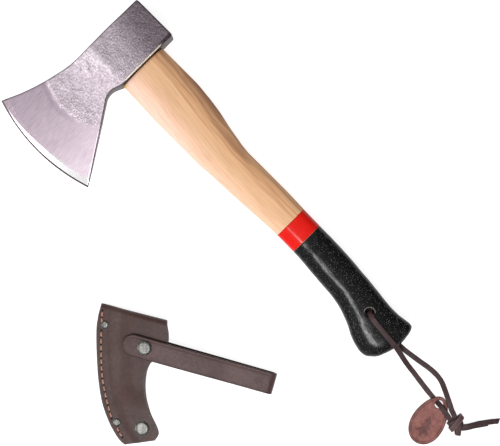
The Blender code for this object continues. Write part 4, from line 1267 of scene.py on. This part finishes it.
def make_stitches():
    names = ("seam_thread_toe", "seam_thread_middle", "seam_thread_heel")
    for index, (name, holes) in enumerate(zip(names, seam_holes())):
        points, faces = [], []
        for a, b in zip(holes, holes[1:]):
            for height, side in ((front_top, 1), (rear_under, -1)):
                for ply in (0, 1):
                    add_part(points, faces, *stitch_points(a, b, height, side, ply))
        ob = piece(name.replace("seam_thread", "stitches"), cover_points(points), faces,
                   THREAD, "sheath", (name,), 60)
        paint(ob, pink=np.full(len(points), 0.25 if index == 1 else 1.0))


def make_welt():
    """The strip sewn between the panels, its outer edge flush with theirs."""
    side = cover_sides()[0]
    outline = [(0.25, 0.35), (0.45, 0.0), (3.0, 0.0), (7.6, 0.0), (7.8, 0.3), (7.8, WELT - 0.3),
               (7.6, WELT), (3.0, WELT), (0.45, WELT), (0.25, WELT - 0.35), (0.12, WELT / 2)]
    rings = []
    for i in range(1, len(side) - 1):
        run = side[i + 1] - side[i - 1]
        run /= np.linalg.norm(run)
        inward = np.array((-run[1], run[0]))
        for d, h in outline:
            x, y = side[i, :2] + inward * d
            base = side[i, :2] + inward * 0.2
            low = rear_under(base[0], base[1]) + LEATHER + GAP
            rings.append((x, y, low + h))
    count = len(outline)
    ob = piece("welt_strip", cover_points(rings), tube_faces(len(side) - 2, count), COVER, "sheath",
               ("sheath_welt",), 50)
    edge = (0.9, 0.9, 0.2, 0.1, 0.1, 0.1, 0.1, 0.2, 0.9, 0.9, 0.9)
    paint(ob, edge=np.tile(edge, len(side) - 2))
    paint(ob, worn=np.zeros(len(rings)))


# ---- Strap ----
def strap_xy(s, across):
    return turned((s, across + STRAP_SHIFT, 0.0), STRAP_TURN)[:2]


def strap_line():
    """Middle line of the strap from its rounded end, round the fold, to its rear end."""
    top, low = FOLD_Z + FOLD_R, FOLD_Z - FOLD_R
    line = [(d - STRAP_NOSE, STRAP_OVER)
            for d in (0.02, 0.15, 0.5, 1.1, 1.9, 2.9, 4.1, 5.5, 7.1, 8.9)]
    for s in np.linspace(11.0 - STRAP_NOSE, FOLD_S, 120):
        drop = smooth_step((s - 12) / (FOLD_S - 12))
        line.append((s, STRAP_OVER - (STRAP_OVER - top) * float(drop)))
    for turn in np.linspace(math.pi / 2, -math.pi / 2, 30)[1:]:
        line.append((FOLD_S + FOLD_R * math.cos(turn), FOLD_Z + FOLD_R * math.sin(turn)))
    for s in np.linspace(FOLD_S - 1.2, -14.0, 110):
        line.append((s, low + (2.15 - low) * float(smooth_step((60 - s) / 35))))
    return line


def strap_section(half):
    """Section's points, across and up: a creased line runs inside each edge."""
    t = STRAP_THICK / 2
    soft = min(0.55, half * 0.3)
    crease = half - 1.7
    right = [(half, 0.0), (half, t - soft), (half - soft * 0.3, t - soft * 0.3), (half - soft, t)]
    if half > 4:
        right += [(crease + 0.45, t), (crease, t - 0.17), (crease - 0.45, t)]
    else:
        right += [(half * 0.7, t), (half * 0.6, t), (half * 0.5, t)]
    quarter = right + [(half * k, t) for k in (0.55, 0.28, 0.0)]
    top = quarter + [(-a, b) for a, b in reversed(quarter[:-1])]
    return top + [(-a, -b) for a, b in top[1:-1]]


def make_strap():
    line = strap_line()
    rings, coordinates, edge, worn = [], [], [], []
    half, run = STRAP_WIDE / 2, 0.0
    for i, (s, z) in enumerate(line):
        ahead, behind = line[min(i + 1, len(line) - 1)], line[max(i - 1, 0)]
        d = Vector((ahead[0] - behind[0], ahead[1] - behind[1])).normalized()
        up = Vector((-d.y, d.x))
        if i:
            run += math.hypot(s - line[i - 1][0], z - line[i - 1][1])
        wide = half
        if run < half:
            wide = max(math.sqrt(max(half ** 2 - (half - run - 0.02) ** 2, 0)), 0.3)
        for a, b in strap_section(wide):
            x, y = strap_xy(s + up.x * b, a)
            rings.append((x, y, z + up.y * b))
            coordinates.append((run, a, b * 3))
            rim = wide - abs(a)
            nose = half - math.hypot(half - min(run, half), a) if run < half else rim
            edge.append(1 - float(smooth_step((min(rim, nose) - 0.3) / 0.9)) if b > -0.9 else 0.5)
            # Painted highlights: two lighter patches along the strap, standing in for soft
            # highlights.
            patch = band(run, 37, 4, 12) * 0.35 + band(run, 102, 6, 14) * 0.6
            worn.append(float(patch) * (1 - abs(a) / 14))
    ob = piece("strap_leather", cover_points(rings),
               tube_faces(len(line), len(strap_section(half))), STRAP, None,
               ("strap_front", "strap_rear"), 60)
    paint(ob, edge=edge)
    paint(ob, worn=worn)
    own = ob.data.attributes.new("along", "FLOAT_VECTOR", "POINT")
    own.data.foreach_set("vector", np.array(coordinates, np.float32).ravel())
    x, y, _ = placed(cover_points((*strap_xy(FOLD_S, 0), 0.0)))
    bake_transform(ob)


# ---- Rivets and snaps ----
def dome(radius, low, height, lip=0.35):
    """Profile of a pressed cap: crowned face, rolled lip and flat underside."""
    points = [(0.02, low + height)]
    face = radius - lip
    for k in range(1, 13):
        r = face * k / 12
        points.append((r, low + lip + (height - lip) * (1 - (r / face) ** 9.0)))
    for turn in (15, 40, 65, 90):
        t = math.radians(turn)
        points.append((face + lip * math.sin(t), low + lip * math.cos(t) + 0.02))
    return points + [(radius, low + 0.02), (radius - 0.3, low), (0.02, low)]


def pressed_cap(node, at, radius, low, height, body, steps=72):
    """A turned cap that stands for the CAD node."""
    profile = dome(radius, low + 0.05, height)
    x, y, _ = cover_points((*at, 0.0))
    ob = piece(f"{node}_pressed", turned_points(profile, x, y, steps),
               tube_faces(len(profile), steps), NICKEL, body, (node,))
    out = np.repeat([r for r, _ in profile], steps)
    # Painted shade: darker on the rolled lip.
    paint(ob, lip=smooth_step((out - max(out) + 0.5) / 0.4) * 0.8)


def make_caps():
    for node, at, radius, height in (("toe_rivet_cap", EDGE_RIVETS[0], 3.5, 0.95),
                                     ("heel_rivet_cap", EDGE_RIVETS[1], 3.5, 0.95),
                                     ("heel_snap_cap", HEEL_SNAP, 6.4, 1.25)):
        pressed_cap(node, at, radius, front_top(*at), height, "sheath")
    pressed_cap("strap_snap_cap", (0.0, 0.0), 6.5, STRAP_OVER + STRAP_THICK / 2, 1.25, "strap")


def dress_cad():
    """Materials of the CAD nodes that stay as they are."""
    kept = {
        NICKEL: ("toe_rivet_post", "heel_rivet_post", "heel_snap_socket", "heel_snap_stud",
                 "heel_snap_post", "strap_snap_socket", "strap_snap_stud", "strap_snap_post",
                 "strap_rivet_cap", "strap_rivet_post"),
        WEDGE: ("wood_wedge",),
        RING: ("ring_wedge",),
    }
    for material, names in kept.items():
        for name in names:
            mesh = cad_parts[name].data
            mesh.materials.clear()
            mesh.materials.append(material)


def plain_wood(name, tone, deep):
    f = Finish(name, Specular_IOR_Level=0.25)
    rings = f.noise(0.8, stretch=(3, 12, 1), detail=4.0)
    colour = f.mix(f.attribute("shaded"), f.mix(rings, deep, tone), (0.012, 0.010, 0.010))
    return f.done(colour, 0.6, f.bump(rings, 0.05))


make_camera()
LACE = leather("lace_leather", (0.036, 0.018, 0.019), (0.074, 0.040, 0.042), (0.012, 0.006, 0.007),
               0.7, worn=0.8, rough=(0.42, 0.6))
TAG = leather("tag_leather", (0.140, 0.042, 0.035), (0.285, 0.102, 0.084), (0.045, 0.014, 0.014),
              0.8, worn=0.10, rough=(0.36, 0.50), clouds=8.0)
make_lanyard()
make_studio()
STEEL = forged_steel()
NICKEL = nickel()
RING = nickel("fastener_steel", (0.40, 0.39, 0.39))
ASH = ash_wood()
WEDGE = plain_wood("wedge_wood", (0.66, 0.42, 0.22), (0.45, 0.26, 0.12))
RIM = plain_wood("rim_wood", (0.96, 0.90, 0.87), (0.86, 0.78, 0.74))
RED = red_paint()
BLACK = black_coat()
COVER = leather("cover_leather", (0.050, 0.026, 0.023), (0.078, 0.043, 0.038),
                (0.060, 0.047, 0.045), 0.9, worn=0.35, rough=(0.36, 0.50))
STRAP = leather("strap_leather", (0.062, 0.032, 0.031), (0.093, 0.053, 0.051),
                (0.030, 0.014, 0.014), 0.9, at="along", worn=0.42, rough=(0.36, 0.50))
THREAD = waxed_thread()
NEEDLE = needle_dark()
make_head()
make_haft()
make_band()
make_grip()
make_pocket()
make_welt()
make_stitches()
make_strap()
make_caps()
dress_cad()
